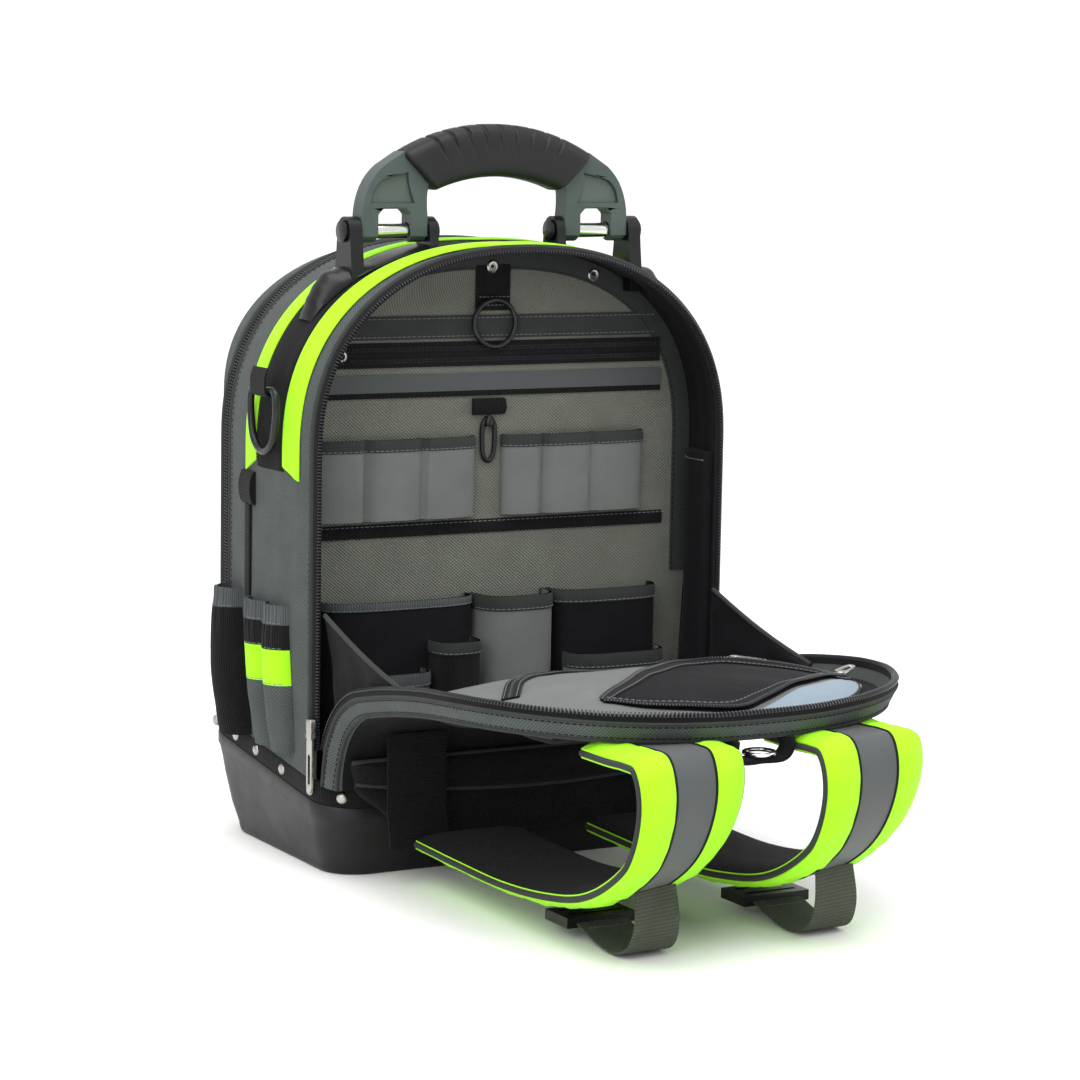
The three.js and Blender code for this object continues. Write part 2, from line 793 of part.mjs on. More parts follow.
// Wall that follows the flap's edge between two heights above its outer face
function flapWall(start, inset, thickness, low, high, tuck) {
  const sides = flapSideStations(start);
  const sideCount = sides.length - 1;
  const steps = 2 * sideCount + tipSteps;
  const spring = flapLength - archRise;
  return bentBox(steps, 1, 1, (along, across, up) => {
    const step = Math.round(along * steps);
    const h = low + (high - low) * up;
    const lean = tuck * (1 - h / boxingHeight);
    const inward = inset + lean + thickness * (1 - across);
    const half = openingHalfWidth - inward;
    const reach = archRise - inward;
    if (step <= sideCount) {
      return onFlap(-half, sides[step], h);
    }
    if (step >= sideCount + tipSteps) {
      return onFlap(half, sides[steps - step], h);
    }
    const angle = Math.PI * ((step - sideCount) / tipSteps);
    const power = 2 / archSquareness;
    const cos = Math.cos(angle);
    const x = -half * Math.sign(cos) * Math.abs(cos) ** power;
    return onFlap(x, spring + reach * Math.sin(angle) ** power, h);
  });
}

function makeFlap() {
  const panelInset = flapEdgeTuck + boxingWall + 3 * seatGap;
  addPiece('flap_panel', flapSlab(0, panelInset, 0, flapPanelWall, 4), 'blackFabric');
  addPiece('flap_boxing', flapWall(0, 0, boxingWall, 0, boxingHeight, flapEdgeTuck), 'gussetGrey');
  const zipStart = flapStraight + flapBend * bendShares[0];
  const zipFloor = boxingHeight + seatGap;
  const overlap = (boxingWall - flapZipWall) / 2;
  addPiece('flap_zip', flapWall(zipStart, overlap, flapZipWall, zipFloor, zipFloor + flapZipHeight, 0), 'blackFabric');
  const pocketFloor = flapPanelWall + seatGap;
  const pocketStart = flapStraight + flapBend + flapPocketStart;
  const dome = (side, along) => flapPocketDome * (1 - side ** 4) * (1 - (2 * along - 1) ** 6);
  const pocket = flapSlab(pocketStart, flapEdgeTuck + boxingWall + flapPocketInset, pocketFloor,
    pocketFloor + pocketWall, 6, dome);
  addPiece('flap_pocket', pocket, 'greyFabric');
}

// Black cloth webs that stop the flap at each side of the opening
function makeGussets() {
  const lowHeight = flapPanelWall + gussetFootLift;
  const highHeight = boxingHeight - gussetTopDrop;
  const insideAt = (h) => openingHalfWidth - boxingWall - flapEdgeTuck * (1 - h / boxingHeight) - 2 * seatGap;
  const cornerY = shellFront - zipWidth - 3 * seatGap;
  const far = onFlap(0, gussetStart + gussetLength, highHeight);
  for (const side of [-1, 1]) {
    const web = bentBox(8, 1, 1, (along, across, up) => {
      const low = onFlap(0, gussetStart + gussetLength * along, lowHeight);
      const edgeY = cornerY + (far.y - cornerY) * along;
      const edgeZ = gussetTop + (far.z - gussetTop) * along;
      const y = low.y + (edgeY - low.y) * up;
      const z = low.z + (edgeZ - low.z) * up;
      const x = insideAt(lowHeight + (highHeight - lowHeight) * up) - gussetWall * across;
      return new THREE.Vector3(side * x, y, z);
    });
    addPiece(side < 0 ? 'gusset_left' : 'gusset_right', web, 'blackFabric');
  }
}

// Foam pads on the flap's outer face, and the lumbar pad over the tub's front
function makePads() {
  for (const side of [-1, 1]) {
    const pad = bentBox(12, 3, 1, (along, across, up) => {
      const v = padStart + padLength * along;
      const scallop = padScallop * Math.abs(Math.sin(along * Math.PI * padLobes));
      const x = padInner + (padOuter - padInner - padScallop + scallop) * across;
      const edge = Math.min(1, 5 * Math.min(across, 1 - across), 6 * Math.min(along, 1 - along));
      const crown = 0.35 + 0.65 * Math.sqrt(Math.max(0, edge));
      return onFlap(side * x, v, -seatGap - padThickness * crown * (1 - up));
    });
    addPiece(side < 0 ? 'back_pad_left' : 'back_pad_right', pad, 'blackFabric');
  }
  const lumbarRows = [
    [0, 0.6],
    [0.25, 0.8],
    [0.7, 0.97],
    [1, 1],
  ];
  const lumbar = bentBox(8, 6, 1, (along, across, up) => {
    const side = 2 * across - 1;
    const z = lumbarBottom + (lumbarTop - lumbarBottom) * along;
    const half = lumbarHalfWidth * readTable(lumbarRows, along);
    const crown = 0.4 + 0.6 * Math.sqrt(1 - Math.max(Math.abs(side), Math.abs(2 * along - 1)) ** 4);
    const bent = Math.max(0, z - clothStart(flapFaceY) - flapStandHeight) / flapBendRadius;
    const facetSag = lumbarBendSag * Math.min(1, 6 * bent);
    const lean = flapBendRadius * (1 - Math.sqrt(1 - bent ** 2)) + facetSag;
    const y = -tubHalfDepth - seatGap - lean - lumbarThickness * crown * up;
    return new THREE.Vector3(side * half, y, z);
  });
  addPiece('lumbar_pad', lumbar, 'blackFabric');
}

// Side view of a shoulder strap's lime face: shares of its reach and of its drop
const strapRows = [
  [0.77, 0.975],
  [0.87, 0.978],
  [0.93, 0.985],
  [0.975, 0.975],
  [1.0, 0.9],
  [1.01, 0.76],
  [0.99, 0.58],
  [0.94, 0.4],
  [0.85, 0.24],
  [0.74, 0.12],
  [0.58, 0.04],
  [0.4, 0.0],
  [0.2, 0.0],
  [0.0, 0.01],
];

function strapPoint(reach, drop) {
  return [strapEndY - strapReach * reach, strapFloorLift + strapDrop * drop];
}

function strapCurve() {
  const path = strapRows.map(([reach, drop]) => strapPoint(reach, drop));
  return new THREE.CatmullRomCurve3(path.map(([y, z]) => new THREE.Vector3(0, y, z)), false, 'centripetal');
}

function makeStraps() {
  const curve = strapCurve();
  for (const side of [-1, 1]) {
    const strap = bentBox(26, 3, 1, (along, across, up) => {
      const point = curve.getPointAt(along);
      const tangent = curve.getTangentAt(along);
      const edge = 2 * across - 1;
      const thin = 1 - 0.4 * edge ** 6;
      const inward = strapThickness * ((1 - thin) / 2 + up * thin);
      const x = side * strapCentre + (strapWidth / 2) * edge;
      const skew = strapSkew * edge * Math.min(1, 3 * along) * Math.min(1, 2.2 * (1 - along));
      return new THREE.Vector3(x, point.y - tangent.z * inward + skew, point.z + tangent.y * inward);
    });
    addPiece(side < 0 ? 'shoulder_strap_left' : 'shoulder_strap_right', strap, 'lime');
  }
}

// Ladder lock: a flat moulded frame with two slots for webbing
function ladderLock(x, y, z) {
  const halfLength = lockLength / 2;
  const halfWidth = lockWidth / 2;
  const frame = toSolid(blockAt(x - halfWidth, x + halfWidth, y - halfLength, y + halfLength, z, z + lockThickness));
  const slotHalf = webbingWidth / 2 + 1;
  const slots = [-1, 1].map((way) => {
    const middle = y + way * lockLength * 0.22;
    return toSolid(blockAt(x - slotHalf, x + slotHalf, middle - lockSlotHalf, middle + lockSlotHalf, z - 1, z + lockThickness + 1));
  });
  return toGeometry(frame.subtract(slots[0]).subtract(slots[1]));
}

// Webbing below the straps: grey loops that touch the surface and black anchors at the flap's bend
const loopRows = [
  [0.84, 0.027],
  [0.815, -0.097],
  [0.765, -0.149],
  [0.69, -0.136],
  [0.602, -0.082],
];
const loopLeaveShare = 0.42;

function makeWebbing() {
  const anchorPath = [
    [flapFaceY - anchorStandOff, lumbarTop + anchorTopLift],
    [flapFaceY - anchorStandOff - 0.5, lumbarTop + anchorTopLift / 2],
    [flapFaceY - anchorStandOff - 1, lumbarTop - anchorTopLift / 2],
    [flapFaceY - anchorStandOff - 2, lumbarTop - 1.8 * anchorTopLift],
    [strapEndY + webbingWall / 2 + 2 * seatGap, strapFloorLift + 6],
  ];
  const curve = strapCurve();
  const onStrap = curve.getPointAt(loopLeaveShare);
  const run = curve.getTangentAt(loopLeaveShare);
  const off = webbingWall / 2 + seatGap - strapFacetSag;
  const leave = [onStrap.y + run.z * off, onStrap.z - run.y * off];
  for (const side of [-1, 1]) {
    const hand = side < 0 ? 'left' : 'right';
    const x = side * strapCentre + loopShift;
    const loopPath = [leave, ...loopRows.map(([reach, drop]) => strapPoint(reach, drop))];
    const skewAt = (across, along) => {
      const edge = (loopShift + webbingWidth * (across - 0.5)) / (strapWidth / 2);
      return strapSkew * edge * Math.max(0, 1 - 2 * along);
    };
    const loop = webbing(loopPath, x - webbingWidth / 2, x + webbingWidth / 2, webbingWall, 16, skewAt);
    addPiece(`strap_loop_${hand}`, loop, 'webbing');
    const lockY = strapPoint(0.602, 0)[0] + seatGap + lockLength / 2;
    addPiece(`ladder_lock_${hand}`, ladderLock(x, lockY, lockHeight), 'plastic');
    const anchorX = side * anchorCentre;
    const anchor = webbing(anchorPath, anchorX - anchorWidth / 2, anchorX + anchorWidth / 2, webbingWall, 10);
    addPiece(`anchor_webbing_${hand}`, anchor, 'blackFabric');
  }
}

// Step on the arch, from the left foot, at a distance from the middle plane
function stepAtX(x) {
  const angle = Math.acos((Math.abs(x) / openingHalfWidth) ** (archSquareness / 2));
  return sideSteps + (archSteps * angle) / Math.PI;
}

// What the shell fills, grown by the seat gap, for cutting pieces to sit on it
function shellKeepOut() {
  return toSolid(archBand({
    y0: shellFront, y1: shellFront + shellDepth, depthSteps: shellSections,
    under: -4 * shellWall, over: shellWall / 2 + seatGap,
  }));
}

// What lies outside the shell's inner face, less the seat gap
function shellOutside() {
  return toSolid(archBand({
    y0: shellFront, y1: shellFront + shellDepth, depthSteps: shellSections,
    under: -shellWall / 2 - seatGap, over: 4 * shellWall,
  }));
}

// Mirrors a solid to the other side of the bag where the side is the right one
function onSide(solid, side) {
  return side < 0 ? solid : solid.mirror([1, 0, 0]);
}

// Cylinder along X on the handle's pivot line
function onPivot(x0, x1, radius) {
  const bar = new THREE.CylinderGeometry(radius, radius, x1 - x0, 14);
  bar.rotateZ(Math.PI / 2);
  bar.translate((x0 + x1) / 2, handleY, pinHeight);
  return toSolid(bar);
}

// Moulded ear seen from the side: a round top on a spreading foot
function earPlate(x0, x1, bottom) {
  const shape = new THREE.Shape();
  shape.moveTo(-earFootHalf, bottom);
  shape.lineTo(earFootHalf, bottom);
  shape.lineTo(earRadius, pinHeight - earRadius);
  shape.absarc(0, pinHeight, earRadius, 0, Math.PI, false);
  shape.lineTo(-earRadius, pinHeight - earRadius);
  const plate = new THREE.ExtrudeGeometry(shape, { depth: x1 - x0, bevelEnabled: false, curveSegments: 5 });
  return toSolid(mapped(plate, (y, z, x) => new THREE.Vector3(x0 + x, handleY + y, z)));
}

// Thickness of the bracket's saddle from the end of its foot (0) to its inner end (1)
const saddleRows = [
  [0, 2.5],
  [0.1, 5],
  [0.3, 15],
  [0.4, 2],
  [1, 1.6],
];

function makeBrackets() {
  const keepOut = shellKeepOut();
  const footEnd = stepAtX(footReach);
  const innerEnd = stepAtX(innerEarX);
  const under = shellWall / 2 + seatGap;
  const saddle = toSolid(archBand({
    y0: handleY - saddleHalf, y1: handleY + saddleHalf, depthSteps: 1,
    under, over: (y, point, along) => under + readTable(saddleRows, along),
    from: footEnd, to: innerEnd, steps: 12,
  }));
  const outerEar = earPlate(-outerEarX, -outerEarX + outerEarWall, pinHeight - outerEarDrop);
  const innerEar = earPlate(-innerEarX - innerEarWall, -innerEarX, pinHeight - innerEarDrop);
  const bore = onPivot(-outerEarX - 30, -innerEarX + 30, pinRadius + seatGap);
  const bracket = saddle.add(outerEar).add(innerEar).subtract(keepOut).subtract(bore);
  const reach = pinHeadThickness + seatGap;
  const shank = onPivot(-outerEarX - reach, -innerEarX + reach, pinRadius);
  const outerHead = onPivot(-outerEarX - reach, -outerEarX - seatGap, pinHeadRadius);
  const innerHead = onPivot(-innerEarX + seatGap, -innerEarX + reach, pinHeadRadius);
  const pin = shank.add(outerHead).add(innerHead);
  for (const side of [-1, 1]) {
    const hand = side < 0 ? 'left' : 'right';
    addPiece(`bracket_${hand}`, toGeometry(onSide(bracket, side)), 'plastic');
    addPiece(`pivot_pin_${hand}`, toGeometry(onSide(pin, side)), 'steel');
  }
}

// Outline of the grip between its two arcs, grown evenly
function gripOutline(grow) {
  const topCentre = gripTop - gripTopRadius;
  const bottomCentre = gripBottom - gripBottomRadius;
  const topRadius = gripTopRadius + grow;
  const bottomRadius = gripBottomRadius - grow;
  const topAngle = Math.acos((gripTopHalf + grow) / topRadius);
  const bottomAngle = Math.acos((gripBottomHalf + grow) / bottomRadius);
  const shape = new THREE.Shape();
  shape.absarc(0, topCentre, topRadius, topAngle, Math.PI - topAngle, false);
  shape.absarc(0, bottomCentre, bottomRadius, Math.PI - bottomAngle, bottomAngle, true);
  return shape;
}

function gripBody(grow) {
  const depth = 2 * (gripHalfDepth + grow - gripRounding);
  const block = new THREE.ExtrudeGeometry(gripOutline(grow), {
    depth, bevelEnabled: true, bevelThickness: gripRounding, bevelSize: gripRounding,
    bevelOffset: -gripRounding, bevelSegments: 1, curveSegments: 6,
  });
  return toSolid(mapped(block, (x, z, deep) => new THREE.Vector3(x, handleY + deep - depth / 2, z)));
}

// Curved core of the handle inside the grip, grown evenly
function handleCore(grow) {
  const centre = gripTop - gripTopRadius;
  const outer = gripTopRadius - coreBelowTop + grow;
  const inner = outer - coreHeight - 2 * grow;
  const sweep = Math.asin((gripTopHalf - 4 + 2 * grow) / outer);
  const shape = new THREE.Shape();
  shape.absarc(0, centre, outer, Math.PI / 2 - sweep, Math.PI / 2 + sweep, false);
  shape.absarc(0, centre, inner, Math.PI / 2 + sweep, Math.PI / 2 - sweep, true);
  const half = armHalfDepth + grow;
  return toSolid(plateInXZ(shape, handleY - half, handleY + half));
}

// Left arm seen from the front: two lobes below, running up to the grip's end
function armOutline() {
  const outer = -outerEarX + outerEarWall + runningGap;
  const inner = -innerEarX - innerEarWall - runningGap;
  const outerSide = outer + lobeWidth;
  const innerSide = inner - lobeWidth;
  const gapTop = pinHeight + 16;
  const shape = new THREE.Shape();
  shape.moveTo(outer, pinHeight);
  shape.lineTo(outer, pinHeight + 10);
  shape.quadraticCurveTo(outer + 1, pinHeight + 34, -gripTopHalf - 14, gripTop - 30);
  shape.lineTo(-gripTopHalf + 2, gripTop - 20);
  shape.lineTo(-gripTopHalf + 20, gripTop - 22);
  shape.lineTo(-gripBottomHalf + 2, gripBottom - 6);
  shape.quadraticCurveTo(inner - 2, pinHeight + 27, inner, pinHeight + 10);
  shape.lineTo(inner, pinHeight);
  shape.lineTo(innerSide, pinHeight);
  shape.lineTo(innerSide, gapTop - 4);
  shape.lineTo(innerSide - 4, gapTop);
  shape.lineTo(outerSide + 4, gapTop);
  shape.lineTo(outerSide, gapTop - 4);
  shape.lineTo(outerSide, pinHeight);
  return { shape, outer, inner, outerSide, innerSide };
}

// Sunk field on the front and back of the arm
function armField(outerSide, innerSide) {
  const shape = new THREE.Shape();
  const foot = pinHeight + 20;
  shape.moveTo(outerSide - 6, foot);
  shape.quadraticCurveTo(outerSide - 4, foot + 18, -gripTopHalf - 6, gripTop - 38);
  shape.lineTo(-gripTopHalf + 6, gripTop - 35);
  shape.quadraticCurveTo(innerSide - 3, foot + 14, innerSide + 3, foot);
  return shape;
}

function makeHandle() {
  const { shape, outer, inner, outerSide, innerSide } = armOutline();
  const plate = toSolid(plateInXZ(shape, handleY - armHalfDepth, handleY + armHalfDepth));
  const field = armField(outerSide, innerSide);
  const front = toSolid(plateInXZ(field, handleY - armHalfDepth - 1, handleY - armHalfDepth + armRecess));
  const back = toSolid(plateInXZ(field, handleY + armHalfDepth - armRecess, handleY + armHalfDepth + 1));
  const lobes = onPivot(outer, outerSide, lobeRadius).add(onPivot(innerSide, inner, lobeRadius));
  const bore = onPivot(outer - 5, inner + 5, pinRadius + runningGap);
  const arm = plate.subtract(front).subtract(back).add(lobes).subtract(gripBody(seatGap)).subtract(bore);
  const frame = arm.add(onSide(arm, 1)).add(handleCore(0));
  addPiece('handle_frame', toGeometry(frame), 'arm');
  let grip = gripBody(0).subtract(handleCore(seatGap));
  const spread = Math.asin((gripTopHalf * 0.68) / gripTopRadius);
  for (let i = 0; i < gripGrooves; i += 1) {
    const angle = -spread + (2 * spread * i) / (gripGrooves - 1);
    const groove = blockAt(-gripGrooveWidth / 2, gripGrooveWidth / 2, -gripHalfDepth - 1, gripHalfDepth + 1,
      gripTopRadius - gripGrooveDepth, gripTopRadius + 5);
    groove.rotateY(angle);
    groove.translate(0, handleY, gripTop - gripTopRadius);
    grip = grip.subtract(toSolid(groove));
  }
  addPiece('handle_grip', toGeometry(grip), 'grip');
}

// Open-topped pocket sewn on the left side of the shell
function sidePocket(name, y0, y1, low, high, bulge, finish) {
  const under = shellWall / 2 + seatGap;
  const buried = under - 2;
  const foot = clothStart(y0);
  const bow = (y, inset) => {
    const share = (y - y0 - inset) / (y1 - y0 - 2 * inset);
    return Math.sin(Math.PI * Math.min(1, Math.max(0, share))) ** 0.55;
  };
  const outer = archBand({
    y0, y1, depthSteps: 6, under: buried, over: (y) => under + pocketWall + (bulge - pocketWall) * bow(y, 0),
    from: stepAtHeight(low, foot), to: stepAtHeight(high, foot), steps: 3,
  });
  const inner = archBand({
    y0: y0 + pocketWall, y1: y1 - pocketWall, depthSteps: 6, under: buried - 1,
    over: (y) => under + (bulge - pocketWall) * bow(y, pocketWall),
    from: stepAtHeight(low + pocketWall, foot), to: stepAtHeight(high + 3, foot), steps: 3,
  });
  const pocket = toSolid(outer).subtract(toSolid(inner)).subtract(shellKeepOut());
  addPiece(name, toGeometry(pocket), finish);
}

function makeSideFittings() {
  sidePocket('pen_pocket', penPocketStart, penPocketStart + penPocketWidth, sidePocketBottom, penPocketTop,
    penPocketBulge, 'blackFabric');
  const rearSleeve = tapeStrapY - 3 - sleeveWidth;
  const frontSleeve = rearSleeve - 0.6 - sleeveWidth;
  sidePocket('sleeve_rear', rearSleeve, rearSleeve + sleeveWidth, sidePocketBottom, sleeveTop, sleeveBulge, 'blackFabric');
  sidePocket('sleeve_front', frontSleeve, frontSleeve + sleeveWidth, sidePocketBottom, sleeveTop, sleeveBulge, 'blackFabric');
  const under = shellWall / 2 + seatGap;
  const foot = clothStart(tapeStrapY);
  const clipLoopBottom = limeEndHeight - clipLoopSpace - clipLoopHeight;
  const strap = toSolid(archBand({
    y0: tapeStrapY, y1: tapeStrapY + tapeStrapWidth, depthSteps: 1, under: under - 2, over: under + 2,
    from: stepAtHeight(sidePocketBottom + tapeStrapLift, foot), to: stepAtHeight(clipLoopBottom - seatGap, foot), steps: 3,
  }));
  addPiece('tape_strap', toGeometry(strap.subtract(shellKeepOut())), 'blackFabric');
  const loopStart = tapeStrapY + tapeStrapWidth / 2 - clipLoopWidth / 2;
  const loop = toSolid(archBand({
    y0: loopStart, y1: loopStart + clipLoopWidth, depthSteps: 1, under: under - 2, over: under + clipLoopDepth,
    from: stepAtHeight(clipLoopBottom, foot), to: stepAtHeight(clipLoopBottom + clipLoopHeight, foot), steps: 2,
  }));
  addPiece('clip_loop', toGeometry(loop.subtract(shellKeepOut())), 'blackFabric');
  const wallGap = shellWall / 2 + seatGap;
  const wallStep = (height) => outlineSteps - stepAtHeight(height, clothStart(wallPocketStart));
  const wallBand = (inset, far, near, low, high) => toSolid(archBand({
    y0: wallPocketStart + inset, y1: wallPocketStart + wallPocketWidth - inset, depthSteps: 3,
    under: -far, over: -near, from: wallStep(high), to: wallStep(low), steps: 2,
  }));
  const wallOuter = wallBand(0, wallGap + wallPocketDepth, wallGap - 2, wallPocketBottom, wallPocketTop);
  const wallInner = wallBand(pocketWall, wallGap + wallPocketDepth - pocketWall, wallGap + pocketWall,
    wallPocketBottom + pocketWall, wallPocketTop + 3);
  addPiece('wall_pocket', toGeometry(wallOuter.subtract(wallInner).subtract(shellOutside())), 'blackFabric');
}

// Round wire bent into a closed loop that follows [across, down] points in a flat plane
function wireLoop(points, wire, steps, sides, place) {
  const curve = new THREE.CatmullRomCurve3(points.map(([x, z]) => new THREE.Vector3(x, 0, z)), true, 'centripetal');
  const core = 10;
  const torus = new THREE.TorusGeometry(core, wire / 2, sides, steps);
  return mapped(torus, (x, y, z) => {
    const share = (Math.atan2(y, x) / (2 * Math.PI) + 1) % 1;
    const middle = curve.getPointAt(share);
    const tangent = curve.getTangentAt(share);
    const out = Math.hypot(x, y) - core;
    return place(middle.x + tangent.z * out, z, middle.z - tangent.x * out);
  });
}

// The D-ring's outline as shares of its half width and of its drop
const ringRows = [
  [-0.78, 0], [-0.4, 0], [0, 0], [0.4, 0], [0.78, 0], [1, -0.1],
  [1, -0.45], [0.72, -0.84], [0, -1], [-0.72, -0.84], [-1, -0.45], [-1, -0.1],
];

function makeRings() {
  const side = openingHalfWidth + sideBulge + shellWall / 2 + ringWire / 2 + 1.2;
  const outline = ringRows.map(([across, down]) => [across * ringHalfWidth, down * ringDrop]);
  const ringPlace = (x, y, z) => new THREE.Vector3(-side + y, ringY + x, ringTop + z);
  addPiece('d_ring', wireLoop(outline, ringWire, 24, 6, ringPlace), 'steel');
  const bore = new THREE.CylinderGeometry(ringWire / 2 + runningGap, ringWire / 2 + runningGap, loopWidth + 4, 12);
  bore.translate(-side, ringY, ringTop);
  const sleeve = new THREE.CylinderGeometry(ringWire / 2 + 2.4, ringWire / 2 + 2.4, loopWidth, 12);
  sleeve.translate(-side, ringY, ringTop);
  const tail = blockAt(-side - 2, -side + 16, ringY - loopWidth / 2, ringY + loopWidth / 2, ringTop, ringTop + 16);
  const loop = toSolid(sleeve).add(toSolid(tail)).subtract(toSolid(bore)).subtract(shellKeepOut());
  addPiece('ring_loop', toGeometry(loop), 'blackFabric');
  const ring = new THREE.TorusGeometry(oRingRadius, oRingWire / 2, 6, 16);
  const ringCentre = dividerFace - dividerZipWall - seatGap - oRingWire / 2;
  const ringHeight = tabBottom + oRingLap - oRingRadius;
  addPiece('o_ring', mapped(ring, (x, z, y) => new THREE.Vector3(x, ringCentre + y, z + ringHeight)), 'plastic');
}

// Black snap hook hanging from a small webbing loop on the divider
function makeSnapHook() {
  const low = upperPocketTop + hookLoopLift;
  const top = low + hookLoopHeight;
  dividerTrim('hook_loop', hookCentre - hookLoopHalf, hookCentre + hookLoopHalf, low, top, hookLoopDepth, 'blackFabric');
  const outline = [
    [0, -14.5], [4.6, -19], [5.2, -30], [4, -42], [0, -46], [-4, -42], [-5.2, -30], [-4.6, -19],
  ];
  const y = dividerFace - hookWire / 2;
  const hookPlace = (u, w, z) => new THREE.Vector3(hookCentre + u, y + w, top + z);
  addPiece('snap_hook', wireLoop(outline, hookWire, 18, 6, hookPlace), 'plastic');
}

// Shares of the haul loop's half width and drop along one side of its bow
const haulRows = [
  [-1, 0],
  [-1, 0.55],
  [-0.78, 0.95],
  [0, 1],
  [0.78, 0.95],
  [1, 0.55],
  [1, 0],
];

// Padded loop that hangs as a bow under the flap's tip, with a steel ring lying in it
function makeHaulLoop() {
  const tip = onFlap(0, flapLength - haulInset, 0);
  const top = tip.z - 2 * seatGap;
  const path = haulRows.map(([across, down]) => new THREE.Vector3(across * haulLoopHalf, 0, top - down * haulLoopDrop));
  const curve = new THREE.CatmullRomCurve3(path, false, 'centripetal');
  const loop = bentBox(12, 2, 1, (along, across, up) => {
    const point = curve.getPointAt(along);
    const tangent = curve.getTangentAt(along);
    const edge = 2 * across - 1;
    const out = haulLoopWall * (up - 0.5) * (1 - 0.4 * edge ** 2);
    return new THREE.Vector3(point.x - tangent.z * out, tip.y + (haulLoopWidth / 2) * edge, point.z + tangent.x * out);
  });
  addPiece('haul_loop', loop, 'blackFabric');
  const ring = new THREE.TorusGeometry(haulRingRadius, haulRingWire / 2, 6, 14);
  const ringHeight = top - haulLoopDrop + haulLoopWall / 2 + haulRingWire / 2 + runningGap;
  addPiece('haul_ring', mapped(ring, (x, y, z) => new THREE.Vector3(x, tip.y + y, ringHeight + z)), 'steel');
}

// Slider at the left end of the front zip, with its long pull
function makeSlider() {
  const x = -openingHalfWidth - zipWall / 2 - 2 * seatGap;
  const z = rimAt(shellFront) + rimStripHeight + sliderLift;
  const back = shellFront - seatGap;
  const middle = back - pullWidth / 2;
  const pullX = x - (sliderWidth - pullWall) / 2;
  const body = toSolid(blockAt(x - sliderWidth, x, back - sliderDepth, back, z, z + sliderLength));
  const pull = toSolid(blockAt(pullX - pullWall, pullX, back - pullWidth, back, z - pullLength, z + 2));
  const eye = z - pullLength + pullWidth / 2;
  const eyeHalf = pullWidth / 4;
  const hole = toSolid(blockAt(x - sliderWidth - 1, x + 1, middle - eyeHalf, middle + eyeHalf, eye, eye + pullEyeLength));
  addPiece('zip_slider', toGeometry(body.add(pull).subtract(hole)), 'nickel');
}

makeTub();
makeShell();
makeRearPanel();
makeLimeStrips();
makeDivider();
makeDividerTrim();
makeInnerPockets();
makeFlap();
makeGussets();
makePads();
makeStraps();
makeWebbing();
makeBrackets();
makeHandle();
makeSideFittings();
makeRings();
makeSnapHook();
makeHaulLoop();
makeSlider();

export default group;
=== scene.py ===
import math

import bpy
from mathutils import Matrix, Vector, noise
from mathutils.geometry import tessellate_polygon


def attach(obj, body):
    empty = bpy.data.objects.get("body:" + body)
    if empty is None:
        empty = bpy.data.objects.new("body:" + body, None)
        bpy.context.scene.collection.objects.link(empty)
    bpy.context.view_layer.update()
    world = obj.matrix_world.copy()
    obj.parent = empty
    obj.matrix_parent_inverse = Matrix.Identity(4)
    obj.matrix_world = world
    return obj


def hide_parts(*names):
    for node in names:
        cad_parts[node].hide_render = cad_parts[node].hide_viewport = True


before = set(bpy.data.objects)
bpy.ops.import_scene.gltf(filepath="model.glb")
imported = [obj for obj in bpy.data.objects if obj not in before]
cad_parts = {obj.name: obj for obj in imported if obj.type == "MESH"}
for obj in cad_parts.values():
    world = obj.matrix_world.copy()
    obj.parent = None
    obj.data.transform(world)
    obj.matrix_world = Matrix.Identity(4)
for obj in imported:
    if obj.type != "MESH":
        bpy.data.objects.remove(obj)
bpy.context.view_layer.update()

scene = bpy.context.scene
up = Vector((0, 0, 1))


# Camera at the photograph's place
photoCamera = {"place": (-1.1451, -2.1504, 0.5523), "yaw": 29.23, "pitch": 7.71, "roll": 1.02,
               "focal": 3.0624}


def makeCamera():
    yaw, pitch, roll = (math.radians(photoCamera[key]) for key in ("yaw", "pitch", "roll"))
    ahead = Vector((math.sin(yaw) * math.cos(pitch), math.cos(yaw) * math.cos(pitch), -math.sin(pitch)))
    right = ahead.cross(up).normalized()
    top = right.cross(ahead)
    across = math.cos(roll) * right + math.sin(roll) * top
    above = -math.sin(roll) * right + math.cos(roll) * top
    data = bpy.data.cameras.new("photoCamera")
    data.sensor_width = 36
    data.lens = 36 * photoCamera["focal"]  # 1080 pixels across
    data.clip_end = 20
    camera = bpy.data.objects.new("photoCamera", data)
    scene.collection.objects.link(camera)
    x, y, z = photoCamera["place"]
    camera.matrix_world = Matrix((
        (across.x, above.x, -ahead.x, x),
        (across.y, above.y, -ahead.y, y),
        (across.z, above.z, -ahead.z, z),
        (0, 0, 0, 1),
    ))
    scene.camera = camera


makeCamera()
print("camera set")


# Small tools for nodes and colours
def put(tree, kind, links=None, **settings):
    node = tree.nodes.new(kind)
    for key, value in settings.items():
        setattr(node, key, value)
    for key, value in (links or {}).items():
        if isinstance(value, bpy.types.NodeSocket):
            tree.links.new(value, node.inputs[key])
        else:
            node.inputs[key].default_value = value
    return node


def linear(code, gain=1.0):
    parts = [int(code[i:i + 2], 16) / 255 for i in (1, 3, 5)]
    return [min(1, gain * (c / 12.92 if c <= 0.04045 else ((c + 0.055) / 1.055) ** 2.4))
            for c in parts] + [1]


def emptyMaterial(name):
    material = bpy.data.materials.new(name)
    material.use_nodes = True
    material.node_tree.nodes.clear()
    return material, material.node_tree


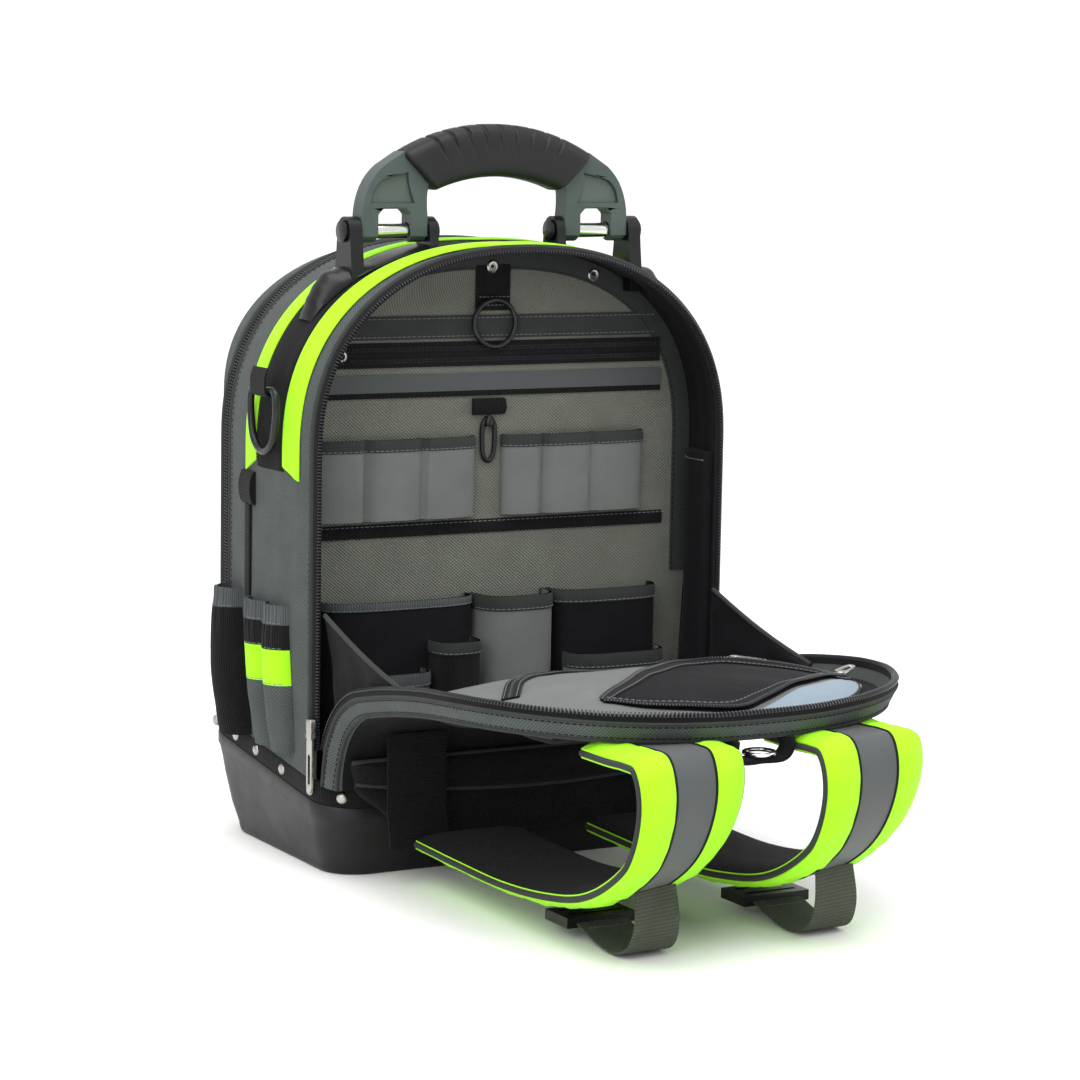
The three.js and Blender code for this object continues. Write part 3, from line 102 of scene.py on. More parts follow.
# Cloth: threads at their real width, a few lighter fibres and slow blotches from handling
def cloth(name, colour, thread=0.7, lift=0.12, twill=0.0, ribs=0.0, ribPitch=2.0, rough=0.85, blotch=0.12,
          blotchSize=22, gapShade=0.35, sheen=0.04, paintedGlow=0.0, crease=0.0, creaseSize=30):
    material, tree = emptyMaterial(name)
    place = put(tree, "ShaderNodeTexCoord")
    turns = math.pi * 1000 / thread  # one thread per half wave
    scaled = put(tree, "ShaderNodeVectorMath", {0: place.outputs["UV"], 1: (turns, turns, 0)},
                 operation="MULTIPLY")
    waves = put(tree, "ShaderNodeVectorMath", {0: scaled.outputs[0]}, operation="SINE")
    pair = put(tree, "ShaderNodeSeparateXYZ", {0: waves.outputs[0]})
    height = put(tree, "ShaderNodeMath", {0: pair.outputs[0], 1: pair.outputs[1]},
                 operation="MULTIPLY").outputs[0]
    if twill:
        raw = put(tree, "ShaderNodeSeparateXYZ", {0: scaled.outputs[0]})
        slant = put(tree, "ShaderNodeMath", {0: raw.outputs[0], 1: raw.outputs[1]}, operation="ADD")
        line = put(tree, "ShaderNodeMath", {0: slant.outputs[0]}, operation="SINE")
        height = put(tree, "ShaderNodeMath", {0: line.outputs[0], 1: twill, 2: height},
                     operation="MULTIPLY_ADD").outputs[0]
    if ribs:
        raw = put(tree, "ShaderNodeSeparateXYZ", {0: place.outputs["UV"]})
        phase = put(tree, "ShaderNodeMath", {0: raw.outputs[0], 1: 2000 * math.pi / ribPitch},
                    operation="MULTIPLY")
        wave = put(tree, "ShaderNodeMath", {0: phase.outputs[0]}, operation="SINE")
        height = put(tree, "ShaderNodeMath", {0: wave.outputs[0], 1: ribs, 2: height},
                     operation="MULTIPLY_ADD").outputs[0]
    slow = put(tree, "ShaderNodeTexNoise",
               {"Vector": place.outputs["Object"], "Scale": 1000 / blotchSize, "Detail": 4.0})
    fine = put(tree, "ShaderNodeTexNoise",
               {"Vector": place.outputs["Object"], "Scale": 900 / thread, "Detail": 2.0})
    amount = put(tree, "ShaderNodeMath", {0: fine.outputs["Fac"], 1: 0.5, 2: slow.outputs["Fac"]},
                 operation="MULTIPLY_ADD")
    tone = put(tree, "ShaderNodeMapRange",
               {"Value": amount.outputs[0], "From Min": 0.45, "From Max": 1.05,
                "To Min": 1 - blotch, "To Max": 1 + blotch})
    shade = put(tree, "ShaderNodeMapRange",
                {"Value": height, "From Min": -1.0, "From Max": 1.0,
                 "To Min": 1 - gapShade, "To Max": 1.0})
    both = put(tree, "ShaderNodeMath", {0: tone.outputs[0], 1: shade.outputs[0]}, operation="MULTIPLY")
    base = put(tree, "ShaderNodeVectorMath", {0: linear(colour)[:3], "Scale": both.outputs[0]},
               operation="SCALE")
    bump = put(tree, "ShaderNodeBump", {"Height": height, "Distance": lift / 1000, "Strength": 0.7})
    if crease:
        folds = put(tree, "ShaderNodeTexNoise",
                    {"Vector": place.outputs["Object"], "Scale": 1000 / creaseSize,
                     "Detail": 3.0, "Distortion": 0.8})
        bump = put(tree, "ShaderNodeBump",
                   {"Height": folds.outputs["Fac"], "Distance": crease / 1000,
                    "Strength": 1.0, "Normal": bump.outputs[0]})
    skin = put(tree, "ShaderNodeBsdfPrincipled",
               {"Base Color": base.outputs[0], "Roughness": rough, "Sheen Weight": sheen,
                "Sheen Roughness": 0.6, "Specular IOR Level": 0.12, "Normal": bump.outputs[0]})
    # Painted glow: the cloth emits light in its own colour, so it looks brighter than the lamps make it
    if paintedGlow:
        skin.inputs["Emission Color"].default_value = linear(colour)
        skin.inputs["Emission Strength"].default_value = paintedGlow
    put(tree, "ShaderNodeOutputMaterial", {"Surface": skin.outputs[0]})
    return material


# Moulded or metal surface: fine grain, uneven gloss and light scuffs
def solid(name, colour, rough=0.5, metal=0.0, grain=0.05, grainSize=1.2, scuff=0.06, scuffSize=35,
          coat=0.0):
    material, tree = emptyMaterial(name)
    place = put(tree, "ShaderNodeTexCoord")
    fine = put(tree, "ShaderNodeTexNoise",
               {"Vector": place.outputs["Object"], "Scale": 1000 / grainSize, "Detail": 2.0})
    slow = put(tree, "ShaderNodeTexNoise",
               {"Vector": place.outputs["Object"], "Scale": 1000 / scuffSize, "Detail": 6.0,
                "Roughness": 0.65})
    tone = put(tree, "ShaderNodeMapRange",
               {"Value": slow.outputs["Fac"], "From Min": 0.3, "From Max": 0.7,
                "To Min": 1 - 2 * scuff, "To Max": 1 + 2 * scuff})
    base = put(tree, "ShaderNodeVectorMath", {0: linear(colour)[:3], "Scale": tone.outputs[0]},
               operation="SCALE")
    gloss = put(tree, "ShaderNodeMapRange",
                {"Value": slow.outputs["Fac"], "From Min": 0.3, "From Max": 0.7,
                 "To Min": max(0.05, rough - scuff), "To Max": min(1, rough + scuff)})
    bump = put(tree, "ShaderNodeBump",
               {"Height": fine.outputs["Fac"], "Distance": grain / 1000, "Strength": 0.6})
    skin = put(tree, "ShaderNodeBsdfPrincipled",
               {"Base Color": base.outputs[0], "Roughness": gloss.outputs[0], "Metallic": metal,
                "Normal": bump.outputs[0], "Coat Weight": coat,
                "Specular IOR Level": 0.5 if metal else 0.3})
    put(tree, "ShaderNodeOutputMaterial", {"Surface": skin.outputs[0]})
    return material


# Coarse square weave with slight waves
ballistic = cloth("ballisticNylonGrey", "#545A59", thread=1.3, lift=0.35, gapShade=0.62, crease=0.5,
                  creaseSize=35)
# Thin slippery cloth that catches soft light
darkNylon = cloth("packclothBlack", "#100F13", thread=0.6, lift=0.08, rough=0.75, blotch=0.2, sheen=0.02,
                  crease=1.6, creaseSize=34)
# Ribbed woven tape
blackWeb = cloth("webbingBlack", "#0F0F12", thread=1.1, lift=0.3, ribs=0.8, ribPitch=2.2, rough=0.8,
                 gapShade=0.55)
# Knitted tape beside the teeth
tape = cloth("zipTapeBlack", "#121214", thread=0.6, lift=0.12, ribs=0.4, ribPitch=1.6, rough=0.85)
# Bright dyed cloth, almost flat in colour, with a faint painted glow (emission in its own colour) that
# brightens it
neon = cloth("fluorescentPolyester", "#9BE81A", thread=0.45, lift=0.05, rough=0.6, blotch=0.04,
             gapShade=0.08, paintedGlow=0.05, crease=0.5, creaseSize=30)
# Slanted rows of thread
twillGrey = cloth("twillGrey", "#73766D", thread=1.2, lift=0.25, twill=0.9, gapShade=0.5, blotch=0.1)
# Smoother pocket cloth
canvas = cloth("canvasGrey", "#6D706E", thread=0.9, lift=0.12, gapShade=0.32, blotch=0.08, crease=0.6,
               creaseSize=45)
# Folded tape over raw edges
binding = cloth("bindingGrey", "#383A3A", thread=0.7, lift=0.15, ribs=0.5, ribPitch=1.8, gapShade=0.4)
# Gathered elastic binding
elasticGrey = cloth("elasticGrey", "#555A5C", thread=0.7, lift=0.3, ribs=1.2, ribPitch=2.0, gapShade=0.5)
# Ribbed stretch cloth
elasticBlack = cloth("elasticBlack", "#151518", thread=0.7, lift=0.35, ribs=1.4, ribPitch=1.7,
                     gapShade=0.5)
# Open mesh with dark holes
meshGrey = cloth("spacerMeshGrey", "#4E5154", thread=1.5, lift=0.5, twill=0.5, gapShade=0.75, blotch=0.08)
# Spacer mesh over foam
padCloth = cloth("padMeshBlack", "#0E0D10", thread=1.3, lift=0.35, gapShade=0.6, rough=0.75, crease=0.8,
                 creaseSize=30)
# Glass bead tape, evenly grey
reflect = cloth("reflectiveTape", "#484B4C", thread=0.35, lift=0.03, rough=0.45, gapShade=0.1,
                blotch=0.05, sheen=0.1)
# Smooth pale patch
paleVinyl = cloth("vinylPale", "#7F8D99", thread=0.35, lift=0.03, rough=0.5, gapShade=0.05, blotch=0.05)
# Heavy ribbed webbing
greyWeb = cloth("webbingGrey", "#50544A", thread=1.2, lift=0.35, ribs=0.7, ribPitch=2.4, gapShade=0.5)
# Twisted thread
threadGrey = cloth("sewingThreadGrey", "#6D7072", thread=0.3, lift=0.05, gapShade=0.2, rough=0.7)
# Twisted thread
threadBlack = cloth("sewingThreadBlack", "#0D0D0F", thread=0.3, lift=0.05, gapShade=0.2, rough=0.6)
# Zip coil: glossy through its low roughness, with its black lightened to dark grey as a painted highlight
coilBlack = solid("zipCoilNylon", "#2B2B2F", rough=0.22, grain=0.0, scuff=0.04)  # polished monofilament
# Satin spark-eroded skin
tubPlastic = solid("mouldedTubPlastic", "#141416", rough=0.42, grain=0.09, grainSize=0.9, scuff=0.08)
# Glossier small mouldings
blackPlastic = solid("mouldedNylonBlack", "#0F0F11", rough=0.34, grain=0.04, scuff=0.06)
# Painted-looking satin
armPlastic = solid("mouldedNylonGreen", "#3F4947", rough=0.45, grain=0.06, scuff=0.07)
# Duller textured field
armFloor = solid("mouldedNylonGreenField", "#4A524D", rough=0.6, grain=0.12, grainSize=1.6, scuff=0.05)
# Overmoulded rubber
gripRubber = solid("softGripRubber", "#131315", rough=0.55, grain=0.12, grainSize=0.8, scuff=0.07)
# Bright turned tube
steel = solid("turnedSteel", "#D9D9D6", rough=0.2, metal=1.0, grain=0.03, grainSize=3, scuff=0.05)
# Plated, slightly worn
nickel = solid("nickelPlate", "#A3A19C", rough=0.3, metal=1.0, grain=0.08, grainSize=2, scuff=0.12,
               scuffSize=9)
# Glossy coated wire
blackMetal = solid("enamelledWireBlack", "#1A1A1C", rough=0.25, grain=0.02, scuff=0.05)
print("materials made")


# Mesh parts: lists of points in millimetres, gathered into one object per piece
class Pile:
    def __init__(self, *materials):
        self.materials = materials
        self.points, self.faces, self.picks, self.coords = [], [], [], []

    def add(self, part, pick=None):
        points, faces, picks, coords = part
        first = len(self.points)
        self.points += points
        self.coords += coords
        self.faces += [tuple(first + i for i in face) for face in faces]
        self.picks += [pick] * len(faces) if pick is not None else picks
        return self

    def make(self, name, body="bag", stands=(), slot=None, sharp=38):
        mesh = bpy.data.meshes.new(name)
        mesh.from_pydata([p * 0.001 for p in self.points], [], self.faces)
        for material in self.materials:
            mesh.materials.append(material)
        mesh.polygons.foreach_set("material_index", self.picks)
        mesh.polygons.foreach_set("use_smooth", [True] * len(self.faces))
        layer = mesh.uv_layers.new(name="cloth")
        corners = [value for face in self.faces for i in face for value in self.coords[i]]
        layer.data.foreach_set("uv", corners)
        mesh.update()
        mesh.set_sharp_from_angle(angle=math.radians(sharp))
        piece = bpy.data.objects.new(name, mesh)
        scene.collection.objects.link(piece)
        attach(piece, body)
        if stands:
            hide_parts(*stands)
        return piece


# Closed slab over place(u, v, w): w is 1 on the face and 0 on the back
def slab(place, nu, nv, pick=None, loop=False, us=None, vs=None):
    us = us or [i / nu for i in range(nu if loop else nu + 1)]
    vs = vs or [j / nv for j in range(nv + 1)]
    rows, columns = len(us), len(vs)
    points = [Vector(place(u, v, w)) for w in (1, 0) for u in us for v in vs]
    along, middle = [0.0], columns // 2
    for i in range(1, rows):
        along.append(along[-1] + (points[i * columns + middle]
                                  - points[(i - 1) * columns + middle]).length)
    side, centre = [0.0], (rows // 2) * columns
    for j in range(1, columns):
        side.append(side[-1] + (points[centre + j] - points[centre + j - 1]).length)
    coords = [(along[i] / 1000, side[j] / 1000) for _ in (1, 0) for i in range(rows)
              for j in range(columns)]
    faces, picks = [], []
    back = rows * columns

    def face(corners, u, v, kind):
        faces.append(corners)
        picks.append(pick(u, v, kind) if pick else 0)

    for i in range(rows if loop else rows - 1):
        k = (i + 1) % rows
        u = (us[i] + us[k]) / 2 if k else (us[i] + 1) / 2
        for j in range(columns - 1):
            v = (vs[j] + vs[j + 1]) / 2
            a, b, c, d = i * columns + j, k * columns + j, k * columns + j + 1, i * columns + j + 1
            face((a, b, c, d), u, v, "face")
            face((back + d, back + c, back + b, back + a), u, v, "back")
        a, b = i * columns, k * columns
        face((back + a, back + b, b, a), u, 0, "edge")
        a, b = a + columns - 1, b + columns - 1
        face((a, b, back + b, back + a), u, 1, "edge")
    if not loop:
        for j in range(columns - 1):
            v = (vs[j] + vs[j + 1]) / 2
            face((j, j + 1, back + j + 1, back + j), 0, v, "edge")
            a = (rows - 1) * columns + j
            face((a + 1, a, back + a, back + a + 1), 1, v, "edge")
    return points, faces, picks, coords


# Loft through rows of points that each close on themselves, with both ends filled
def loft(rings, caps=(True, True)):
    count = len(rings[0])
    points = [Vector(p) for ring in rings for p in ring]
    girth, gone = [0.0], [0.0]
    for i in range(1, count):
        girth.append(girth[-1] + (points[i] - points[i - 1]).length)
    for k in range(1, len(rings)):
        gone.append(gone[-1] + (points[k * count] - points[(k - 1) * count]).length)
    coords = [(girth[i] / 1000, gone[k] / 1000) for k in range(len(rings)) for i in range(count)]
    faces = []
    for k in range(len(rings) - 1):
        for i in range(count):
            n = (i + 1) % count
            faces.append((k * count + i, k * count + n, (k + 1) * count + n, (k + 1) * count + i))
    for end, wanted in zip((0, len(rings) - 1), caps):
        if wanted:
            ring = tuple(end * count + i for i in range(count))
            faces.append(ring[::-1] if end == 0 else ring)
    return points, faces, [0] * len(faces), coords


# Round cord of cloth or wire along a path
def tube(path, radius, sides=8, loop=False, flat=1.0, facing=None):
    path = [Vector(p) for p in path]
    rings, count = [], len(path)
    side = None
    for i, point in enumerate(path):
        before = path[i - 1] if i or loop else path[0]
        after = path[(i + 1) % count] if i < count - 1 or loop else path[-1]
        run = (after - before).normalized()
        guide = facing[i] if facing else (side or (up if abs(run.z) < 0.9 else Vector((1, 0, 0))))
        side = (guide - run * guide.dot(run)).normalized()
        other = run.cross(side)
        r = radius(i / max(1, count - 1)) if callable(radius) else radius
        rings.append([point + side * (r * flat * math.cos(2 * math.pi * k / sides))
                      + other * (r * math.sin(2 * math.pi * k / sides))
                      for k in range(sides)])
    return loft(rings + [rings[0]], (False, False)) if loop else loft(rings)


# Turned shape: rows of (radius, height) about an axis
def turned(rows, centre, axis, sides=16):
    axis = Vector(axis).normalized()
    first = axis.orthogonal().normalized()
    second = axis.cross(first)
    turns = [2 * math.pi * k / sides for k in range(sides)]
    rings = [[Vector(centre) + axis * h + first * (max(r, 0.02) * math.cos(turn))
              + second * (max(r, 0.02) * math.sin(turn)) for turn in turns]
             for r, h in rows]
    return loft(rings)


# Small bar with a raised middle: a stitch or a coil tooth
def bar(centre, run, face, length, width, height):
    across = run.cross(face).normalized()
    points = []
    for share, lift in ((-0.5, 0.15), (-0.2, 1.0), (0.2, 1.0), (0.5, 0.15)):
        for way in (-1, 1):
            points.append(centre + run * (length * share) + across * (width / 2 * way)
                          - face * (height * 0.3))
            points.append(centre + run * (length * share) + across * (width / 4 * way)
                          + face * (height * lift))
    faces = [(0, 1, 3, 2), (14, 12, 13, 15)]
    for k in range(3):
        a = 4 * k
        faces += [(a, a + 4, a + 5, a + 1), (a + 1, a + 5, a + 7, a + 3), (a + 3, a + 7, a + 6, a + 2)]
    return points, faces, [0] * len(faces), [(p.x / 1000, p.z / 1000) for p in points]


# Line on a slab's face: its points with the way out of the face
def lineOn(place, path, count=60, lift=0.0):
    line = []
    for i in range(count + 1):
        share = i / count * (len(path) - 1)
        k = min(int(share), len(path) - 2)
        t = share - k
        u = path[k][0] * (1 - t) + path[k + 1][0] * t
        v = path[k][1] * (1 - t) + path[k + 1][1] * t
        top = Vector(place(u, v, 1))
        out = (top - Vector(place(u, v, 0))).normalized()
        line.append((top + out * lift, out))
    return line


# Points at an even spacing along a line, with its direction there
def paced(line, pitch):
    gone, due, spots = 0.0, pitch / 2, []
    for (a, na), (b, nb) in zip(line, line[1:]):
        span = (b - a).length
        while span > 1e-9 and due <= gone + span:
            t = (due - gone) / span
            spots.append((a.lerp(b, t), (b - a).normalized(), na.lerp(nb, t).normalized()))
            due += pitch
        gone += span
    return spots


def stitch(pile, line, pick, pitch=4.0, length=2.8, width=0.7, height=0.4):
    for point, run, out in paced(line, pitch):
        pile.add(bar(point, run, out, length, width, height), pick)


def coil(pile, line, pick, pitch=2.1, width=3.4, height=1.3, length=1.3):
    for point, run, out in paced(line, pitch):
        pile.add(bar(point, run.cross(out).normalized(), out, width, length, height), pick)


def dome(pile, point, out, pick, radius=4.2, height=2.2):
    rows = [(radius, -0.4), (radius, 0.3), (radius * 0.86, height * 0.55),
            (radius * 0.55, height * 0.88), (radius * 0.25, height), (0, height)]
    pile.add(turned(rows, point, out, 18), pick)


def eyelet(pile, point, out, pick, hole, radius=4.6):
    rows = [(radius, -0.3), (radius, 0.4), (radius * 0.8, 1.1), (radius * 0.55, 0.9),
            (radius * 0.45, 0.3), (0, 0.2)]
    pile.add(turned(rows, point, out, 18), pick)
    pile.add(turned([(radius * 0.4, 0.1), (radius * 0.3, 0.5), (0, 0.6)], point, out, 12), hole)


def ripple(point, size, amount, seed=0.0):
    return amount * noise.noise(Vector(point) / size + Vector((seed, 0, 0)))


# The arch shared by the body, the zips and the folded flap
arch = {"half": 165, "spring": 299, "rise": 141, "power": 2.3, "sideShare": 0.3}
bodyShell = {"front": -78, "depth": 132, "wall": 4, "bulge": 10, "crown": 0.2, "fade": 95,
             "blackFrom": -44, "blackTo": -4, "limeEnd": 284, "ripple": 0.7}
bulgeRows = [(0, 0), (0.15, 0.5), (0.32, 0.85), (0.5, 1), (0.75, 0.85), (1, 0.5)]
tub = {"halfLength": 168, "halfDepth": 106, "footInset": 13, "corner": 30, "wall": 3.5, "floor": 4,
       "footRound": 7, "rim": 65, "slope": 0.127, "stripHeight": 14, "step": 2.7, "ledge": 1.0}
seatGap = 0.3  # sewn pieces stand this far from each other


def rimAt(y):
    return tub["rim"] + tub["slope"] * y


def clothStart(y):
    return rimAt(y) + tub["stripHeight"] + seatGap


def readRows(rows, at):
    if at <= rows[0][0]:
        return rows[0][1]
    for (start, before), (end, after) in zip(rows, rows[1:]):
        if at <= end:
            share = (at - start) / (end - start)
            return before + (after - before) * (1 - math.cos(math.pi * share)) / 2
    return rows[-1][1]


# Point and way out on the arch, from the left foot (0) over the crown to the right foot (1)
def archAt(share, foot):
    side = arch["sideShare"]
    if share < side:
        return -arch["half"], foot + (arch["spring"] - foot) * share / side, -1.0, 0.0
    if share > 1 - side:
        return arch["half"], foot + (arch["spring"] - foot) * (1 - share) / side, 1.0, 0.0
    angle = math.pi * (share - side) / (1 - 2 * side)
    power = 2 / arch["power"]
    cos, sin = math.cos(angle), max(0.0, math.sin(angle))
    x = -arch["half"] * math.copysign(abs(cos) ** power, cos)
    z = arch["spring"] + arch["rise"] * sin ** power
    slopeX = math.copysign(abs(x / arch["half"]) ** (arch["power"] - 1), x) / arch["half"]
    slopeZ = ((z - arch["spring"]) / arch["rise"]) ** (arch["power"] - 1) / arch["rise"]
    size = math.hypot(slopeX, slopeZ)
    return x, z, slopeX / size, slopeZ / size


def bulgeAt(y, nx, z):
    along = (y - bodyShell["front"]) / bodyShell["depth"]
    turn = bodyShell["crown"] + (1 - bodyShell["crown"]) * abs(nx)
    lift = min(1, max(0, (z - clothStart(y)) / bodyShell["fade"]))
    return bodyShell["bulge"] * readRows(bulgeRows, along) * turn * lift


def onArch(share, y, out, foot=None):
    x, z, nx, nz = archAt(share, clothStart(y) if foot is None else foot)
    far = bulgeAt(y, nx, z) + out
    return Vector((x + nx * far, y, z + nz * far))


def shareAtHeight(height, y):
    foot = clothStart(y)
    return arch["sideShare"] * (height - foot) / (arch["spring"] - foot)


# Moulded tub
def roundedLoop(halfX, halfY, radius, count):
    corners = [(halfX - radius, -halfY + radius, -math.pi / 2), (halfX - radius, halfY - radius, 0),
               (-halfX + radius, halfY - radius, math.pi / 2),
               (-halfX + radius, -halfY + radius, math.pi)]
    points = []
    for k, (x, y, start) in enumerate(corners):
        for i in range(count + 1):
            angle = start + math.pi / 2 * i / count
            points.append((x + radius * math.cos(angle), y + radius * math.sin(angle)))
        nx, ny, nextStart = corners[(k + 1) % 4]
        ax, ay = points[-1]
        bx, by = nx + radius * math.cos(nextStart), ny + radius * math.sin(nextStart)
        for i in range(1, 10):
            points.append((ax + (bx - ax) * i / 10, ay + (by - ay) * i / 10))
    return points


def makeTub():
    loop = roundedLoop(tub["halfLength"], tub["halfDepth"], tub["corner"], 12)

    def ring(inset, height):
        scaleX, scaleY = 1 - inset / tub["halfLength"], 1 - inset / tub["halfDepth"]
        return [Vector((x * scaleX, y * scaleY, height(y * scaleY))) for x, y in loop]

    foot, bend = tub["footInset"], tub["footRound"]
    rings = []
    for k in range(6):
        angle = math.pi / 2 * k / 5
        z = bend * (1 - math.cos(angle))
        rings.append(ring(foot + bend / 2 * (1 - math.sin(angle)), lambda y, z=z: z))
    for share in (0.3, 0.45, 0.6, 0.75):
        if share < 0.6:
            inset = foot / 3 + foot * 2 / 3 * (0.6 - share) / 0.6
        else:
            inset = foot / 3 * (1 - share) / 0.4
        rings.append(ring(inset, lambda y, share=share: rimAt(y) * share))
    ledge = tub["ledge"]
    rings.append(ring(1.2, lambda y: rimAt(y) - 11))
    rings.append(ring(1.1, lambda y: rimAt(y) - 9.6))
    rings.append(ring(1.1 - ledge, lambda y: rimAt(y) - 8.4))
    rings.append(ring(0.1, lambda y: rimAt(y) - 1))
    rings.append(ring(0.6, rimAt))
    rings.append(ring(tub["step"], lambda y: rimAt(y) + 0.1))
    rings.append(ring(tub["step"], lambda y: rimAt(y) + tub["stripHeight"]))
    inner = tub["step"] + tub["wall"]
    rings.append(ring(inner, lambda y: rimAt(y) + tub["stripHeight"]))
    rings.append(ring(inner, lambda y: rimAt(y) - 6))
    rings.append(ring(inner + foot / 3, lambda y: rimAt(y) * 0.6))
    rings.append(ring(inner + foot * 0.95, lambda y: tub["floor"] + 3))
    rings.append(ring(inner + foot + 2, lambda y: tub["floor"]))
    Pile(tubPlastic).add(loft(rings)).make("tub", stands=["base_tub"], slot="tub_plastic", sharp=50)


rimStrip = {"wall": 2.4, "rivetsLeft": (87, 50, 14, -31, -78), "rivetsFront": (-138, 138),
            "rivetsBack": (-120, -40, 40, 120)}


def makeRimStrip():
    loop = roundedLoop(tub["halfLength"], tub["halfDepth"], tub["corner"], 12)
    count = len(loop)
    lip = tub["stripHeight"]

    def place(u, v, w):
        x, y = loop[round(u * count) % count]
        grow = -tub["step"] + seatGap + (rimStrip["wall"] - 0.2) * w * (1 - 0.35 * (2 * v - 1) ** 6)
        x *= 1 + grow / tub["halfLength"]
        y *= 1 + grow / tub["halfDepth"]
        return Vector((x, y, rimAt(y) + seatGap + (lip - seatGap) * v))

    pile = Pile(blackWeb, nickel)
    pile.add(slab(place, count, 8, loop=True))
    height = lip * 0.52
    for y in rimStrip["rivetsLeft"]:
        for side in (-1, 1):
            dome(pile, Vector((side * (tub["halfLength"] - 0.4), y, rimAt(y) + height)),
                 Vector((side, 0, 0)), 1)
    for x in rimStrip["rivetsFront"]:
        slant = math.radians(-90 + 32 * (1 if x > 0 else -1))
        corner = Vector((math.copysign(tub["halfLength"] - tub["corner"], x),
                         -tub["halfDepth"] + tub["corner"], 0))
        out = Vector((math.cos(slant), math.sin(slant), 0))
        spot = corner + out * (tub["corner"] - 0.4)
        dome(pile, Vector((spot.x, spot.y, rimAt(spot.y) + height)), out, 1)
    for x in rimStrip["rivetsBack"]:
        dome(pile, Vector((x, tub["halfDepth"] - 0.4, rimAt(tub["halfDepth"]) + height)),
             Vector((0, 1, 0)), 1)
    pile.make("rimStrip", stands=["rim_strip"], slot="black_fabric")


# Padded body
def makeShell():
    deep, half = bodyShell["depth"], bodyShell["wall"] / 2
    seams = (bodyShell["blackFrom"] - 20, bodyShell["blackFrom"], bodyShell["blackTo"],
             bodyShell["blackTo"] + 20)

    def place(u, v, w):
        y = bodyShell["front"] + deep * v
        base = onArch(u, y, 0)
        dip = 0
        if base.z > bodyShell["limeEnd"]:
            dip = sum(-0.7 * math.exp(-((y - seam) / 2.2) ** 2) for seam in seams)
        soft = ripple(base, 34, bodyShell["ripple"]) * min(1, 8 * v * (1 - v) + 0.2)
        return onArch(u, y, -half + 2 * half * w + (dip + soft) * w)

    def pick(u, v, kind):
        y = bodyShell["front"] + deep * v
        x, z, nx, nz = archAt(u, clothStart(y))
        if kind == "back":
            return 1
        return 1 if bodyShell["blackFrom"] < y < bodyShell["blackTo"] and z > bodyShell["limeEnd"] else 0

    pile = Pile(ballistic, darkNylon, threadBlack)
    pile.add(slab(place, 132, 66, pick))
    for edge in (0.035, 0.965):
        stitch(pile, lineOn(place, [(0, edge), (1, edge)], 160), 2, pitch=4.4)
    pile.make("bodyCover", stands=["body_shell"], slot="gusset_fabric")


limeStrips = {"front": -64, "rear": -4, "width": 20, "wall": 1.2, "end": 284}


def makeLimeStrips():
    for name, start in (("front", limeStrips["front"]), ("rear", limeStrips["rear"])):
        def place(u, v, w):
            y = start + limeStrips["width"] * v
            cut = shareAtHeight(limeStrips["end"]
                                + (10 * (0.5 - v) if name == "rear" else 9 * (v - 0.5)), y)
            thin = 1 - 0.55 * abs(2 * v - 1) ** 8
            out = bodyShell["wall"] / 2 + 0.25 + w * (limeStrips["wall"] + 0.35) * thin
            return onArch(cut + (1 - 2 * cut) * u, y, out)

        pile = Pile(neon, threadGrey)
        pile.add(slab(place, 110, 10))
        pile.make("limeStrip." + name, stands=["lime_strip_" + name], slot="lime_fabric")


frontZip = {"width": 5, "wall": 4, "start": 91, "piping": 2.0}


def makeFrontZip():
    edge = bodyShell["front"]
    cut = shareAtHeight(frontZip["start"], edge)

    def place(u, v, w):
        y = edge - 0.3 - frontZip["width"] * v
        return onArch(cut + (1 - 2 * cut) * u, y,
                      -frontZip["wall"] / 2 + frontZip["wall"] * w * (1 - 0.5 * v ** 4), clothStart(edge))

    pile = Pile(tape, coilBlack, binding, threadBlack)
    pile.add(slab(place, 150, 4))
    shares = [cut + (1 - 2 * cut) * i / 300 for i in range(301)]
    line = [(onArch(s, edge - frontZip["width"] - 0.4, -0.4, clothStart(edge)), Vector((0, -1, 0)))
            for s in shares]
    coil(pile, line, 1, pitch=2.3, width=3.2, height=1.5, length=1.45)
    shares = [i / 260 for i in range(261)]
    pile.add(tube([onArch(s, edge + 0.8, bodyShell["wall"] / 2 + 0.6) for s in shares],
                  frontZip["piping"], 8), 2)
    pile.make("frontZip", stands=["front_zip"], slot="black_fabric")


rearZip = {"front": 54.3, "width": 12, "wall": 3}


def makeRearZip():
    def place(u, v, w):
        y = rearZip["front"] + rearZip["width"] * v
        return onArch(u, y, -rearZip["wall"] / 2 + rearZip["wall"] * w)

    pile = Pile(tape, coilBlack, binding, nickel)
    pile.add(slab(place, 150, 6))
    for way in (0.36, 0.64):
        coil(pile, lineOn(place, [(0, way), (1, way)], 220), 1, pitch=2.3, width=3.4, height=1.2,
             length=1.5)
    for y in (rearZip["front"] - 0.6, rearZip["front"] + rearZip["width"] + 0.6):
        pile.add(tube([onArch(i / 220, y, 1.6) for i in range(221)], 1.9, 8), 2)
    pile.make("rearZip", stands=["rear_zip"], slot="black_fabric")


rearPanel = {"start": 66.6, "depth": 34, "rounding": 34, "wall": 3}
rearTuck = [(0, 0), (0.35, 0.03), (0.65, 0.16), (0.88, 0.5), (1, 1)]


